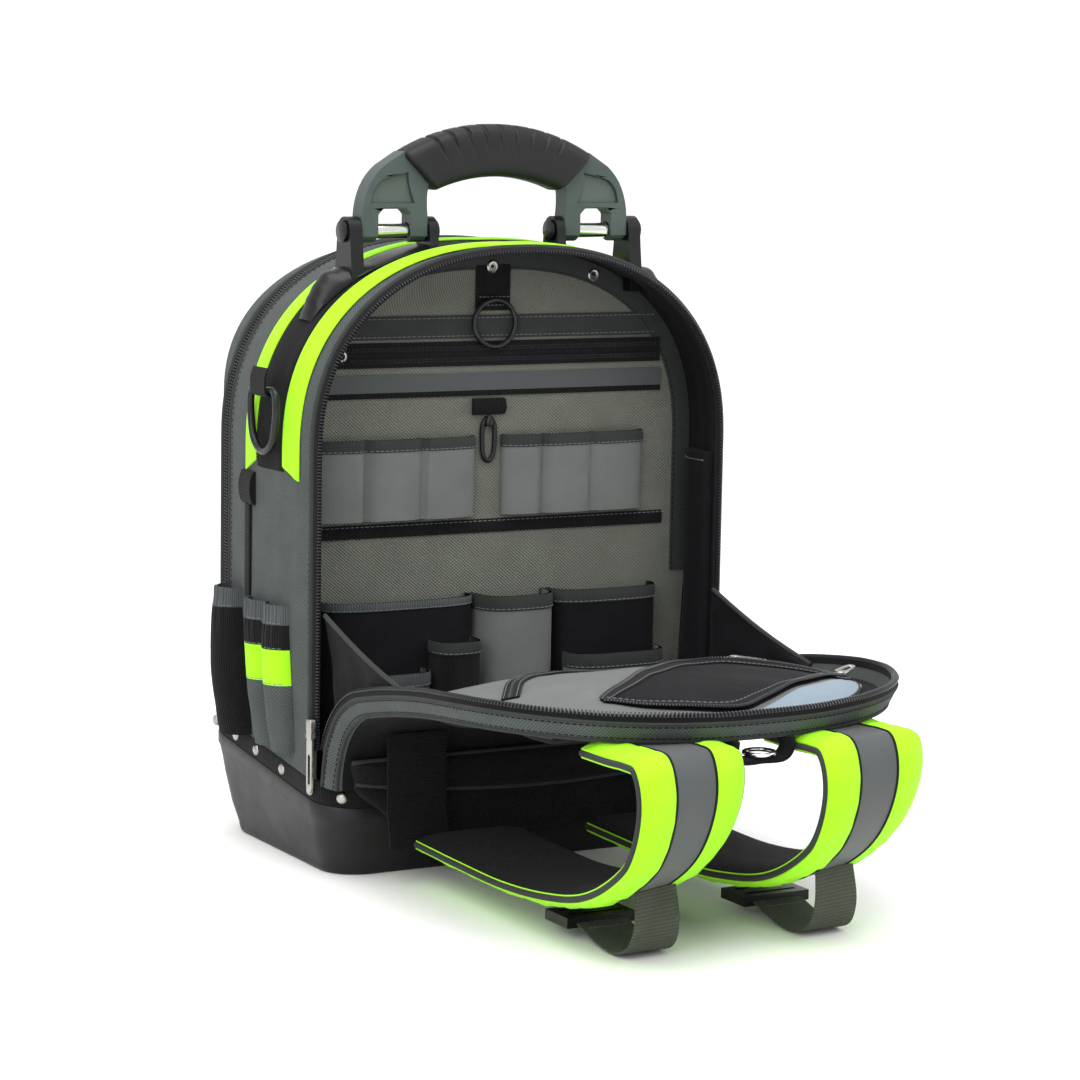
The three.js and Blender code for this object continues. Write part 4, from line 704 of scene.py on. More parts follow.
def makeRearPanel():
    def ring(share, shrink, sag=0.0):
        y = rearPanel["start"] + rearPanel["depth"] * share
        tuck = readRows(rearTuck, share) * rearPanel["rounding"] + shrink
        foot = clothStart(y)
        crown = arch["spring"] + arch["rise"] + bodyShell["wall"] / 2 - tuck
        ringPoints = []
        for i in range(141):
            x, z, nx, nz = archAt(i / 140, 0)
            rise = foot + (crown - foot) * z / (arch["spring"] + arch["rise"])
            point = Vector((x * (1 + (bodyShell["wall"] / 2 - tuck) / arch["half"]), y, rise))
            point.y += ripple(point, 60, 1.6, 3) * share - sag
            ringPoints.append(point)
        return ringPoints

    rings = [ring(s, 0) for s in (0, 0.1, 0.2, 0.3, 0.4, 0.5, 0.6, 0.7, 0.78, 0.85, 0.9, 0.95, 0.98, 1)]
    face = rings[-1]
    middle = Vector((0, face[0].y, (face[0].z + face[70].z) / 2))
    for k, shrink in enumerate((0.93, 0.84, 0.7, 0.5, 0.25, 0.02)):
        rings.append([middle + (p - middle) * shrink + Vector((0, 1.5 * (1 - shrink), 0)) for p in face])
    pile = Pile(ballistic, binding, threadGrey)
    pile.add(loft(rings, (False, True)))
    bead = [p + Vector((0, 0.6, 0)) for p in rings[9]]
    pile.add(tube(bead, 2.2, 8), 1)
    piece = pile.make("rearPanel", stands=["rear_panel"], slot="gusset_fabric")
    thick = piece.modifiers.new("panelFoam", "SOLIDIFY")
    thick.thickness = rearPanel["wall"] / 1000
    thick.offset = -1


makeTub()
makeRimStrip()
makeShell()
makeLimeStrips()
makeFrontZip()
makeRearZip()
makeRearPanel()
print("tub and body made")


# Divider wall and what is sewn on it
divider = {"y": -24, "wall": 4, "face": -26.3, "ripple": 0.9,
           "eyelets": ((-1, 426), (84, 419), (-122, 363))}


def dividerHalf(z):
    inner = bodyShell["wall"] / 2 + 1.2
    if z < clothStart(divider["y"]):
        low = tub["halfLength"] - tub["step"] - tub["wall"] - tub["footInset"] - 0.5
        return low + (tub["footInset"] - 2) * z / clothStart(divider["y"])
    if z <= arch["spring"]:
        return arch["half"] + bulgeAt(divider["y"], 1, z) - inner
    share = min(1, (z - arch["spring"]) / (arch["rise"] - inner + 2))
    wide = arch["half"] + bulgeAt(divider["y"], 1, arch["spring"]) - inner
    return wide * max(0.0, 1 - share ** arch["power"]) ** (1 / arch["power"])


def makeDivider():
    low, high = tub["floor"] + 0.4, arch["spring"] + arch["rise"] + 0.6
    rows = [0, 0.25, 0.5, 0.62] + [0.62 + 0.38 * math.sin(math.pi / 2 * i / 36) for i in range(1, 37)]

    def place(u, v, w):
        z = low + (high - low) * v
        x = (2 * u - 1) * dividerHalf(z)
        y = divider["y"] + divider["wall"] / 2 * (1 - 2 * w)
        y += ripple((x, 0, z), 55, divider["ripple"]) * (1 - abs(2 * u - 1) ** 4)
        return Vector((x, y, z))

    def border(u, v, w):
        share = 0.16 + 0.68 * u
        x, z, nx, nz = archAt(share, clothStart(divider["y"]))
        far = bulgeAt(divider["y"], nx, z) - 3.2 - 15 * v
        return Vector((x + nx * far, divider["face"] - 0.1 - 1.1 * w * (1 - 0.4 * (2 * v - 1) ** 6),
                       z + nz * far))

    pile = Pile(twillGrey, binding, threadBlack, nickel, blackPlastic)
    pile.add(slab(place, 56, 0, vs=rows))
    pile.add(slab(border, 90, 4), 1)
    stitch(pile, lineOn(border, [(0, 0.9), (1, 0.9)], 120), 2, pitch=4.2)
    for x, z in divider["eyelets"]:
        eyelet(pile, Vector((x, divider["face"] - 1.4, z)), Vector((0, -1, 0)), 3, 4)
    pile.make("dividerWall", stands=["divider_panel"], slot="grey_fabric")


trim = {"zipMiddle": 363, "zipHalf": 9, "zipFrom": -139.5, "zipTo": 142.5, "stripFrom": -141,
        "stripTo": 144, "stripLow": 336, "stripHigh": 349, "hemLow": 332, "bandFrom": -146,
        "bandTo": 148, "bandLow": 231, "bandHigh": 241, "tabHalf": 14, "tabLow": 394, "tabHigh": 428,
        "facingFrom": -136, "facingTo": 138, "facingLow": 374, "facingHigh": 391}


def flatTrim(x0, x1, z0, z1, thick, wave=0.5, bow=0.0):
    def place(u, v, w):
        x, z = x0 + (x1 - x0) * u, z0 + (z1 - z0) * v
        y = divider["face"] - thick * w * (1 - 0.3 * abs(2 * v - 1) ** 8) + ripple((x, 0, z), 50, wave)
        return Vector((x, y, z + bow * (1 - (2 * u - 1) ** 2)))
    return place


def makeDividerTrim():
    middle, half = trim["zipMiddle"], trim["zipHalf"]
    place = flatTrim(trim["zipFrom"], trim["zipTo"], middle - half, middle + half, 2.0)
    pile = Pile(tape, coilBlack, threadBlack, nickel)
    pile.add(slab(place, 60, 8))
    for v in (0.22, 0.32, 0.68, 0.78):
        coil(pile, lineOn(place, [(0, v), (1, v)], 80), 1, pitch=2.2, width=1.9, height=0.9, length=1.3)
    for v in (0.04, 0.5, 0.96):
        stitch(pile, lineOn(place, [(0, v), (1, v)], 80), 2)
    pile.make("dividerZip", stands=["divider_zip"], slot="black_fabric")

    place = flatTrim(trim["stripFrom"], trim["stripTo"], trim["stripLow"], trim["stripHigh"], 1.3)
    hem = flatTrim(trim["stripFrom"], trim["stripTo"], trim["hemLow"], trim["stripLow"], 1.6)
    pile = Pile(reflect, blackWeb)
    pile.add(slab(place, 60, 4))
    pile.add(slab(hem, 60, 2), 1)
    pile.make("reflectiveStrip", stands=["reflective_strip"], slot="reflective_tape")

    place = flatTrim(trim["bandFrom"], trim["bandTo"], trim["bandLow"], trim["bandHigh"], 1.3)
    pile = Pile(blackWeb, threadGrey)
    pile.add(slab(place, 60, 4))
    stitch(pile, lineOn(place, [(0, 0.85), (1, 0.85)], 80), 1)
    pile.make("dividerBand", stands=["divider_band"], slot="black_fabric")

    place = flatTrim(-trim["tabHalf"], trim["tabHalf"], trim["tabLow"], trim["tabHigh"], 1.6, 0.2)
    facing = flatTrim(trim["facingFrom"], trim["facingTo"], trim["facingLow"], trim["facingHigh"], 0.9)
    pile = Pile(blackWeb, binding, threadGrey)
    pile.add(slab(place, 8, 20))
    pile.add(slab(facing, 60, 6), 1)

    def seam(z, x0, x1, lift, **size):
        line = [(Vector((x, divider["face"] - lift, z)), Vector((0, -1, 0)))
                for x in range(x0, x1 + 1, 2)]
        stitch(pile, line, 2, **size)

    for z in (trim["facingLow"] + 2, trim["facingHigh"] - 2):
        seam(z, trim["facingFrom"] + 2, trim["facingTo"] - 2, 1.2)
    for z in (trim["tabLow"] + 4, trim["tabLow"] + 10):
        seam(z, 2 - trim["tabHalf"], trim["tabHalf"] - 2, 1.8, pitch=3.2, length=2.2)
    pile.make("ringTab", stands=["top_tab"], slot="black_fabric")


# Pockets with bowed fronts
def pocketPlace(x0, x1, z0, z1, back, depth, flare, power=3.2, channels=(), sag=0.0, wave=0.8, thick=1.8):
    middle, half = (x0 + x1) / 2, (x1 - x0) / 2

    def place(u, v, w):
        angle = math.pi * u
        cos, sin = math.cos(angle), max(0.0, math.sin(angle))
        x = -half * math.copysign(abs(cos) ** (2 / power), cos)
        deep = depth * (1 + flare * v) * sin ** (2 / power)
        inner = thick * (1 - w)
        z = z0 + (z1 - z0) * v
        pinch = 0.0
        for c in channels:
            pinch += depth * 0.55 * math.exp(-((middle + x - c) / 3.0) ** 2)
        deep = max(0.2, deep - pinch)
        scoop = sag * (1 - (x / half) ** 2) * v
        soft = ripple((x, back, z), 26, wave, x0) * sin
        return Vector((middle + x * (1 - inner / half), back - max(0.1, deep - inner) - soft, z - scoop))
    return place


def makePocket(name, node, slot, materialMain, materialEdge, spec, edgeHeight=9, channels=(),
               edgeLift=0.9, low=None, lowTo=0.0):
    place = pocketPlace(channels=channels, **spec)
    tall = spec["z1"] - spec["z0"]

    def edge(u, v, w):
        at = 1 - edgeHeight / tall * (1 - v)
        top, under = place(u, at, 1), place(u, at, 0)
        out = (top - under).normalized()
        return top + out * (edgeLift * (1 - 0.5 * (2 * v - 1) ** 4) if w else -2.4)

    def pick(u, v, kind):
        return 3 if low is not None and v < lowTo else 0

    pile = Pile(materialMain, materialEdge, threadGrey, low or materialMain)
    pile.add(slab(place, 64, 14, pick))
    pile.add(slab(edge, 64, 3), 1)
    stitch(pile, lineOn(edge, [(0.04, 0.12), (0.96, 0.12)], 90), 2)
    for c in channels:
        middle, half = (spec["x0"] + spec["x1"]) / 2, (spec["x1"] - spec["x0"]) / 2
        cos = -math.copysign(abs((c - middle) / half) ** (3.2 / 2), c - middle)
        u = math.acos(max(-1, min(1, cos))) / math.pi
        stitch(pile, lineOn(place, [(u, 0.02), (u, 0.98)], 30), 2)
    pile.make(name, stands=[node], slot=slot)


upperPocket = {"z0": 244, "z1": 303, "back": -26.4, "depth": 9, "flare": 0.15, "wave": 0.6}
rowPocket = {"z0": 9, "z1": 187, "back": -26.4, "depth": 22, "flare": 0.0}
lowPocket = {"z0": 9, "back": -48.7, "depth": 21, "flare": 0.08}


def makePockets():
    makePocket("upperPocket.left", "upper_pocket_left", "pocket_fabric", canvas, binding,
               {"x0": -142, "x1": -14, **upperPocket}, channels=(-104, -60))
    makePocket("upperPocket.right", "upper_pocket_right", "pocket_fabric", canvas, binding,
               {"x0": 9, "x1": 128, **upperPocket}, channels=(41, 84))
    makePocket("rowPocket.left", "row_pocket_left", "black_fabric", darkNylon, elasticGrey,
               {"x0": -138, "x1": -18, **rowPocket}, 6)
    makePocket("rowPocket.centre", "row_pocket_centre", "pocket_fabric", canvas, binding,
               {"x0": -15, "x1": 46, **rowPocket, "depth": 30}, 11)
    makePocket("rowPocket.right", "row_pocket_right", "black_fabric", darkNylon, binding,
               {"x0": 49, "x1": 138, **rowPocket}, 10)
    makePocket("roundPocket", "round_pocket", "grey_fabric", meshGrey, elasticGrey,
               {"x0": -116, "x1": -64, "z1": 138, **lowPocket}, 10)
    makePocket("cupPocket", "cup_pocket", "black_fabric", elasticBlack, binding,
               {"x0": -60, "x1": -24, "z1": 158, **lowPocket}, 9)
    makePocket("frontPocket", "front_pocket", "pocket_fabric", canvas, binding,
               {"x0": 52, "x1": 132, "z1": 142, **lowPocket}, 11)


wallPocket = {"from": -74, "to": -32, "low": 110, "high": 288, "depth": 11}


def makeWallPocket():
    def place(u, v, w):
        y = wallPocket["from"] + (wallPocket["to"] - wallPocket["from"]) * u
        z = wallPocket["low"] + (wallPocket["high"] - wallPocket["low"]) * v
        bow = math.sin(math.pi * u) ** 0.5
        x = arch["half"] + bulgeAt(y, 1, z) - 2.6 - wallPocket["depth"] * bow * w
        x += ripple((0, y, z), 22, 0.8) * w
        return Vector((x - (1.6 if w else 0), y, z))

    pile = Pile(darkNylon, binding, threadGrey)
    pile.add(slab(place, 18, 40))
    line = [(Vector(place(i / 40, 0.97, 1)) + Vector((-0.3, 0, 0)), Vector((-1, 0, 0)))
            for i in range(2, 39)]
    stitch(pile, line, 2)
    pile.make("wallPocket", stands=["wall_pocket"], slot="black_fabric")


def circle(radius, count=12):
    return [(math.cos(2 * math.pi * k / count) * radius, math.sin(2 * math.pi * k / count) * radius)
            for k in range(count)]


# Closed wire through an outline of (across, up) points
def wireRing(outline, place, radius, sides=10, steps=90):
    count = len(outline)
    path = []
    for i in range(steps):
        share = i / steps * count
        k, t = int(share), share % 1
        a, b, c, d = (outline[(k + n - 1) % count] for n in range(4))
        point = [0.5 * (2 * b[m] + (c[m] - a[m]) * t + (2 * a[m] - 5 * b[m] + 4 * c[m] - d[m]) * t * t
                        + (3 * b[m] - a[m] - 3 * c[m] + d[m]) * t ** 3) for m in (0, 1)]
        path.append(place(*point))
    return tube(path, radius, sides, loop=True)


dividerRing = {"radius": 17, "wire": 2.0, "x": 0, "z": 385, "y": -31.0}
hookLoop = {"from": -15.5, "width": 26, "low": 318, "height": 12}
snapHook = {"x": -2.5, "top": 330, "swivel": 309.5, "wire": 1.8}
hookRows = [(0, -14.5), (4.6, -19), (5.2, -30), (4, -42), (0, -46), (-4, -42), (-5.2, -30), (-4.6, -19)]


def makeDividerFittings():
    def ringPlace(a, d):
        return Vector((dividerRing["x"] + a, dividerRing["y"], dividerRing["z"] + d))

    pile = Pile(blackMetal)
    pile.add(wireRing(circle(dividerRing["radius"]), ringPlace, dividerRing["wire"], 10, 60))
    pile.make("dividerRing", stands=["o_ring"], slot="fitting_plastic")

    def loopPlace(u, v, w):
        y = divider["face"] - w * (2.5 + 3.2 * math.sin(math.pi * v) ** 0.7)
        return Vector((hookLoop["from"] + hookLoop["width"] * u, y,
                       hookLoop["low"] + hookLoop["height"] * v))

    pile = Pile(blackWeb, threadGrey)
    pile.add(slab(loopPlace, 14, 12))
    pile.make("hookLoop", stands=["hook_loop"], slot="black_fabric")

    def hookPlace(a, d):
        return Vector((snapHook["x"] + a, divider["face"] - snapHook["wire"], snapHook["top"] + d))

    pile = Pile(blackPlastic)
    pile.add(wireRing(hookRows, hookPlace, snapHook["wire"], 10, 60))
    pile.add(turned([(3.6, 0), (4.2, 1.5), (4.2, 4), (3.0, 6), (2.4, 7.5)],
                    (snapHook["x"], divider["face"] - 2.4, snapHook["swivel"]), (0, 0, 1), 14))
    pile.make("snapHook", stands=["snap_hook"], slot="fitting_plastic")


makeDivider()
makeDividerTrim()
makePockets()
makeWallPocket()
makeDividerFittings()
print("divider made")


# Smooth path through points, read at an even pace
def smoothPath(points, steps=24):
    points = [Vector(p) for p in points]
    ends = [2 * points[0] - points[1]] + points + [2 * points[-1] - points[-2]]
    line = []
    for k in range(len(points) - 1):
        a, b, c, d = ends[k:k + 4]
        ta = max(1e-4, (b - a).length ** 0.5)
        tb = max(1e-4, (c - b).length ** 0.5)
        tc = max(1e-4, (d - c).length ** 0.5)
        leave = ((b - a) / ta - (c - a) / (ta + tb) + (c - b) / tb) * tb
        reach = ((c - b) / tb - (d - b) / (tb + tc) + (d - c) / tc) * tb
        for i in range(steps):
            t = i / steps
            line.append(b + leave * t + (3 * (c - b) - 2 * leave - reach) * t ** 2
                        + (2 * (b - c) + leave + reach) * t ** 3)
    line.append(points[-1])
    gone = [0.0]
    for a, b in zip(line, line[1:]):
        gone.append(gone[-1] + (b - a).length)
    return line, gone


def along(path, share):
    line, gone = path
    want = min(max(share, 0), 1) * gone[-1]
    low, high = 0, len(gone) - 1
    while high - low > 1:
        middle = (low + high) // 2
        low, high = (middle, high) if gone[middle] <= want else (low, middle)
    t = (want - gone[low]) / max(1e-9, gone[high] - gone[low])
    before, after = max(0, low - 1), min(len(line) - 1, high + 1)
    return line[low].lerp(line[high], t), (line[after] - line[before]).normalized()


# Folded flap in its zipped boxing
flap = {"stand": 2, "faceY": -106, "bendRadius": 60, "bendAngle": 77, "run": 254, "endRise": -5,
        "panel": 7, "boxing": 14, "boxingWall": 3, "tuck": 6, "belly": 1.6, "crumple": 1.0, "zip": 4.2,
        "pocketInset": 23, "pocketDome": 12, "sideShare": 0.27}
flapTurn = math.radians(flap["bendAngle"])
flapBend = flap["bendRadius"] * flapTurn
flapLength = flap["stand"] + flapBend + flap["run"]
flapSpring = flapLength - arch["rise"]


def onFlap(x, v, h):
    foot = clothStart(flap["faceY"])
    centreY, centreZ = flap["faceY"] - flap["bendRadius"], foot + flap["stand"]
    gone = v - flap["stand"] - flapBend
    if v <= flap["stand"]:
        rise = (1 - v / flap["stand"]) * (clothStart(flap["faceY"] + h) - foot)
        return Vector((x, flap["faceY"] + h, foot + v + rise))
    if gone <= 0:
        angle = (v - flap["stand"]) / flap["bendRadius"]
        far = flap["bendRadius"] + h
        return Vector((x, centreY + far * math.cos(angle), centreZ + far * math.sin(angle)))
    startRise = math.pi / 2 - flapTurn
    rise = startRise + (math.radians(flap["endRise"]) - startRise) * gone / flap["run"]
    middle = (startRise + rise) / 2
    y = centreY + flap["bendRadius"] * math.cos(flapTurn) - gone * math.cos(middle)
    z = centreZ + flap["bendRadius"] * math.sin(flapTurn) + gone * math.sin(middle)
    return Vector((x, y + h * math.sin(rise), z + h * math.cos(rise)))


def flapHalf(v, inset):
    half = arch["half"] - inset
    if v <= flapSpring:
        return half
    share = min(1, (v - flapSpring) / (arch["rise"] - inset))
    return half * (1 - share ** arch["power"]) ** (1 / arch["power"])


# Place on the flap's edge, from its left foot (0) round the tip to its right foot (1)
def flapEdge(share, inward):
    side = flap["sideShare"]
    half, reach = arch["half"] - inward, arch["rise"] - inward
    if share < side:
        return -half, flapSpring * share / side
    if share > 1 - side:
        return half, flapSpring * (1 - share) / side
    angle = math.pi * (share - side) / (1 - 2 * side)
    cos, sin = math.cos(angle), max(0.0, math.sin(angle))
    power = 2 / arch["power"]
    return -half * math.copysign(abs(cos) ** power, cos), flapSpring + reach * sin ** power


def boxingPlace(u, v, w):
    h = flap["boxing"] * v
    x, run = flapEdge(u, flap["tuck"] * (1 - v))
    base = onFlap(x, run, h)
    bend = math.exp(-((run - 45) / 40) ** 2)
    soft = ripple(base, 17, flap["crumple"] * (0.5 + 1.4 * bend), 7) * math.sin(math.pi * v) ** 0.5
    belly = flap["belly"] * math.sin(math.pi * v) + soft
    x, run = flapEdge(u, flap["tuck"] * (1 - v) + flap["boxingWall"] * (1 - w) - belly * w)
    return onFlap(x, run, h)


def makeFlapBoxing():
    pile = Pile(ballistic, binding, threadBlack)
    pile.add(slab(boxingPlace, 260, 12))
    for v in (0.05, 0.95):
        pile.add(tube([boxingPlace(i / 300, v, 1) for i in range(301)], 1.5, 8), 1)
    for v in (0.2, 0.78):
        stitch(pile, lineOn(boxingPlace, [(0, v), (1, v)], 300, 0.1), 2, pitch=4.2, length=3, width=0.8)
    pile.make("flapBoxing", stands=["flap_boxing"], slot="gusset_fabric")

    first = flap["sideShare"] * (flap["stand"] + flapBend * 0.25) / flapSpring

    def zipPlace(u, v, w):
        x, run = flapEdge(first + (1 - 2 * first) * u, -0.5 + 4 * (1 - w))
        point = onFlap(x, run, flap["boxing"] + seatGap + flap["zip"] * v)
        return point + Vector((0, 0, ripple(point, 30, 0.5, 9)))

    pile = Pile(tape, coilBlack, threadBlack)
    pile.add(slab(zipPlace, 260, 3))
    line = []
    for i in range(521):
        u = i / 520
        line.append((Vector(zipPlace(u, 1, 0.62)),
                     (Vector(zipPlace(u, 1, 1)) - Vector(zipPlace(u, 0, 1))).normalized()))
    coil(pile, line, 1, pitch=2.6, width=5.2, height=1.9, length=1.8)
    pile.make("flapZip", stands=["flap_zip"], slot="black_fabric")


flapRows = [i / 40 * 0.6 for i in range(40)]
flapRows += [0.6 + 0.4 * math.sin(math.pi / 2 * i / 30) for i in range(31)]


def makeFlapPanel():
    inset = flap["tuck"] + flap["boxingWall"] + 0.9

    def place(u, v, w):
        run = v * (flapLength - inset - 0.4)
        x = (2 * u - 1) * flapHalf(run, inset)
        soft = ripple((x, run, 0), 40, 1.6, 5) * (1 - abs(2 * u - 1) ** 6) * w
        return onFlap(x, run, flap["panel"] * w + soft)

    pile = Pile(darkNylon, padCloth)
    pile.add(slab(place, 60, 0, lambda u, v, kind: 0 if kind == "face" else 1, vs=flapRows))
    pile.make("flapLining", stands=["flap_panel"], slot="black_fabric")


flapPocket = {"start": 24, "wall": 1.8, "ruck": 1.2}
pocketStart = flap["stand"] + flapBend + flapPocket["start"]
pocketEnd = flapLength - flap["pocketInset"] - 0.4


def pocketPoint(x, run, w=1.0, lift=0.0):
    side = max(-1, min(1, x / max(1e-6, flapHalf(run, flap["pocketInset"]))))
    share = (run - pocketStart) / (pocketEnd - pocketStart)
    domed = flap["pocketDome"] * (1 - side ** 4) * (1 - (2 * share - 1) ** 6)
    soft = ripple((x, run, 0), 36, flapPocket["ruck"], 11) * (1 - side ** 6)
    return onFlap(x, run, flap["panel"] + seatGap + flapPocket["wall"] * w + domed + soft + lift)


# Zips on the flap pocket: x across and run along the flap
zipOne = [(-124, 222), (-88, 170), (-44, 136), (4, 121), (52, 118), (88, 128), (104, 152)]
upperLip = [(-86, 272), (-54, 246), (-14, 208), (28, 176), (52, 166), (74, 170), (88, 192), (100, 226),
            (112, 246), (128, 236)]
lowerLip = [(-86, 276), (-65, 294), (-27, 307), (-1, 309), (20, 302), (49, 288), (88, 266), (128, 240)]


def flatPath(rows):
    return smoothPath([(x, run, 0) for x, run in rows], 12)


def makeFlapPocket():
    def place(u, v, w):
        run = pocketStart + (pocketEnd - pocketStart) * v
        return pocketPoint((2 * u - 1) * flapHalf(run, flap["pocketInset"]), run, w)

    pile = Pile(canvas, tape, coilBlack, darkNylon, binding, threadGrey, paleVinyl, nickel)
    pile.add(slab(place, 80, 0, vs=flapRows))
    edge = [Vector(place(0.005, i / 60, 0.7)) for i in range(60)]
    edge += [Vector(place(0.995, (59 - i) / 60, 0.7)) for i in range(60)]
    pile.add(tube(edge, 1.5, 8), 4)
    stitch(pile, [(Vector(place(0.03, i / 60, 1)), up) for i in range(61)], 5)
    stitch(pile, [(Vector(place(0.97, i / 60, 1)), up) for i in range(61)], 5)
    upper, lower = flatPath(upperLip), flatPath(lowerLip)

    # Open mouth between the zip lips: a dark cloth sheet laid on the pocket as painted shade for its
    # shadowed inside
    def mouth(u, v, w):
        a, b = along(upper, u)[0], along(lower, u)[0]
        point = a.lerp(b, v)
        return pocketPoint(point.x, point.y, 1, 0.25 + 0.35 * w - 0.2)

    pile.add(slab(mouth, 60, 10), 3)

    def patch(u, v, w):
        a = along(lower, 0.42 + 0.56 * u)[0]
        run = a.y + 4 + 24 * v * math.sin(math.pi * min(1, 0.25 + 0.75 * u)) ** 0.5
        return pocketPoint(a.x + 9 * v, run, 1, 0.6 * w)

    pile.add(slab(patch, 30, 6), 6)
    for path, way, wide in ((upper, 1, 10), (lower, -1, 10), (flatPath(zipOne), 0, 12)):
        def band(u, v, w):
            point, run = along(path, u)
            across = Vector((-run.y, run.x, 0)) * (way or 1)
            far = wide * (v if way else v - 0.5)
            lift = 0.5 + 1.1 * w + (2.4 * (1 - v) ** 2 * math.sin(math.pi * u) ** 0.6 if way else 0)
            taper = math.sin(math.pi * min(1, max(0, 0.08 + 0.84 * u))) ** 0.3 if way else 1
            spot = point + across * far * taper
            return pocketPoint(spot.x, spot.y, 1, lift)

        pile.add(slab(band, 90, 5), 1)
        coil(pile, lineOn(band, [(0, 0.06 if way else 0.5), (1, 0.06 if way else 0.5)], 200), 2,
             pitch=2.1, width=3.2, height=1.1, length=1.4)
        stitch(pile, lineOn(band, [(0, 0.82), (1, 0.82)], 120), 5)
        if not way:
            stitch(pile, lineOn(band, [(0, 0.12), (1, 0.12)], 120), 5)
    for path, share in ((flatPath(zipOne), 0.97), (upper, 0.985)):
        point, run = along(path, share)
        spot = pocketPoint(point.x, point.y, 1, 2.6)
        ahead = Vector((run.x, -run.y, 0))
        side = ahead.cross(up)
        section = ((-1, -1), (1, -1), (1, 0.7), (0.6, 1), (-0.6, 1), (-1, 0.7))
        body = [[spot + ahead * (a * 6) + side * (b * 4.2 * (1 - 0.25 * a)) + up * (c * 1.8)
                 for b, c in section] for a in (-1, -0.6, 0, 0.6, 1)]
        pile.add(loft(body), 7)
        tag = [(-4.4, 0), (4.4, 0), (5, -12), (3.4, -24), (0, -26), (-3.4, -24), (-5, -12)]
        pile.add(wireRing(tag, lambda a, d: spot + up * 1.6 + side * a * 0.7 + ahead * (-d - 2), 1.3, 8,
                          40), 7)
    pile.make("flapPocket", stands=["flap_pocket"], slot="grey_fabric")


gusset = {"start": 30, "length": 120, "top": 187, "crease": 3.0, "wall": 1.5}


def makeGussets():
    corner = bodyShell["front"] - frontZip["width"] - 0.9
    low, high = flap["panel"] + 2, flap["boxing"] - 1
    far = onFlap(0, gusset["start"] + gusset["length"], high)
    for side, name in ((-1, "left"), (1, "right")):
        def place(u, v, w):
            base = onFlap(0, gusset["start"] + gusset["length"] * u, low)
            edgeY = corner + (far.y - corner) * u
            edgeZ = gusset["top"] + (far.z - gusset["top"]) * u
            y, z = base.y + (edgeY - base.y) * v, base.z + (edgeZ - base.z) * v
            h = low + (high - low) * v
            x = arch["half"] - flap["boxingWall"] - flap["tuck"] * (1 - h / flap["boxing"]) - 0.8
            wave = 0.4 * math.sin(5.5 * u + 2.2 * v + 0.8 * side) + 0.55
            fold = gusset["crease"] * math.sin(math.pi * v) * wave
            sag = ripple((side * 40, y, z), 24, 1.6) * math.sin(math.pi * v) ** 0.6
            return Vector((side * (x - gusset["wall"] * (1 - w) - fold - sag), y,
                           z - 3 * math.sin(math.pi * u) * v))

        pile = Pile(darkNylon, binding, threadBlack)
        pile.add(slab(place, 48, 26))
        pile.add(tube([place(i / 60, 1, 0.5) for i in range(61)], 1.7, 8), 1)
        stitch(pile, lineOn(place, [(0.02, 0.95), (0.98, 0.95)], 80), 2)
        pile.make("gusset." + name, stands=["gusset_" + name], slot="black_fabric")


pads = {"thickness": 12, "inner": 14, "outer": 130, "start": 112, "length": 165, "scallop": 7}
lumbar = {"thickness": 13, "half": 152, "bottom": 26, "top": 87, "sag": 1.1}
lumbarRows = [(0, 0.6), (0.25, 0.8), (0.7, 0.97), (1, 1)]


def makePads():
    for side, name in ((-1, "left"), (1, "right")):
        def place(u, v, w):
            lobe = abs(math.sin(3 * math.pi * u))
            x = pads["inner"] + (pads["outer"] - pads["inner"] - pads["scallop"]
                                 + pads["scallop"] * lobe) * v
            edge = min(1, 4 * min(v, 1 - v), 5 * min(u, 1 - u))
            seam = max(math.exp(-((u - s) / 0.03) ** 2) for s in (1 / 3, 2 / 3))
            crown = (0.3 + 0.7 * math.sin(math.pi / 2 * max(0, edge)) ** 0.6) * (1 - 0.5 * seam)
            h = -seatGap - pads["thickness"] * crown * w + ripple((x, u * 176, 0), 16, 0.6) * w
            return onFlap(side * x, pads["start"] + pads["length"] * u, h)

        pile = Pile(padCloth, binding)
        pile.add(slab(place, 72, 36))
        rim = [place(i / 70, 1, 0.5) for i in range(71)]
        pile.add(tube(rim, 2.0, 8), 1)
        piece = pile.make("backPad." + name, stands=["back_pad_" + name], slot="pad_fabric", sharp=60)

    def place(u, v, w):
        side = 2 * u - 1
        z = lumbar["bottom"] + (lumbar["top"] - lumbar["bottom"]) * v
        bent = max(0, z - clothStart(flap["faceY"]) - flap["stand"]) / flap["bendRadius"]
        lean = flap["bendRadius"] * (1 - math.sqrt(1 - bent ** 2)) + lumbar["sag"] * min(1, 6 * bent)
        half = lumbar["half"] * readRows(lumbarRows, v)
        rim = max(abs(side), abs(2 * v - 1))
        crown = 0.35 + 0.65 * max(0.0, 1 - rim ** 5) ** 0.6
        seam = math.exp(-((v - 0.55 - 0.18 * side ** 2) / 0.05) ** 2) * 0.3
        y = -tub["halfDepth"] - seatGap - lean - lumbar["thickness"] * (crown - seam * crown) * w
        return Vector((side * half, y - ripple((side * half, 0, v * 60), 20, 0.7) * w, z))

    pile = Pile(padCloth, binding, threadBlack)
    pile.add(slab(place, 90, 30))
    pile.add(tube([place(i / 90, 0.55 + 0.18 * (2 * i / 90 - 1) ** 2, 1) for i in range(91)], 1.6, 8), 1)
    pile.add(tube([place(i / 90, 0.995, 0.7) for i in range(91)], 1.8, 8), 1)
    piece = pile.make("lumbarPad", stands=["lumbar_pad"], slot="pad_fabric", sharp=60)


makeFlapBoxing()
makeFlapPanel()
makeFlapPocket()
makeGussets()
makePads()
print("flap made")


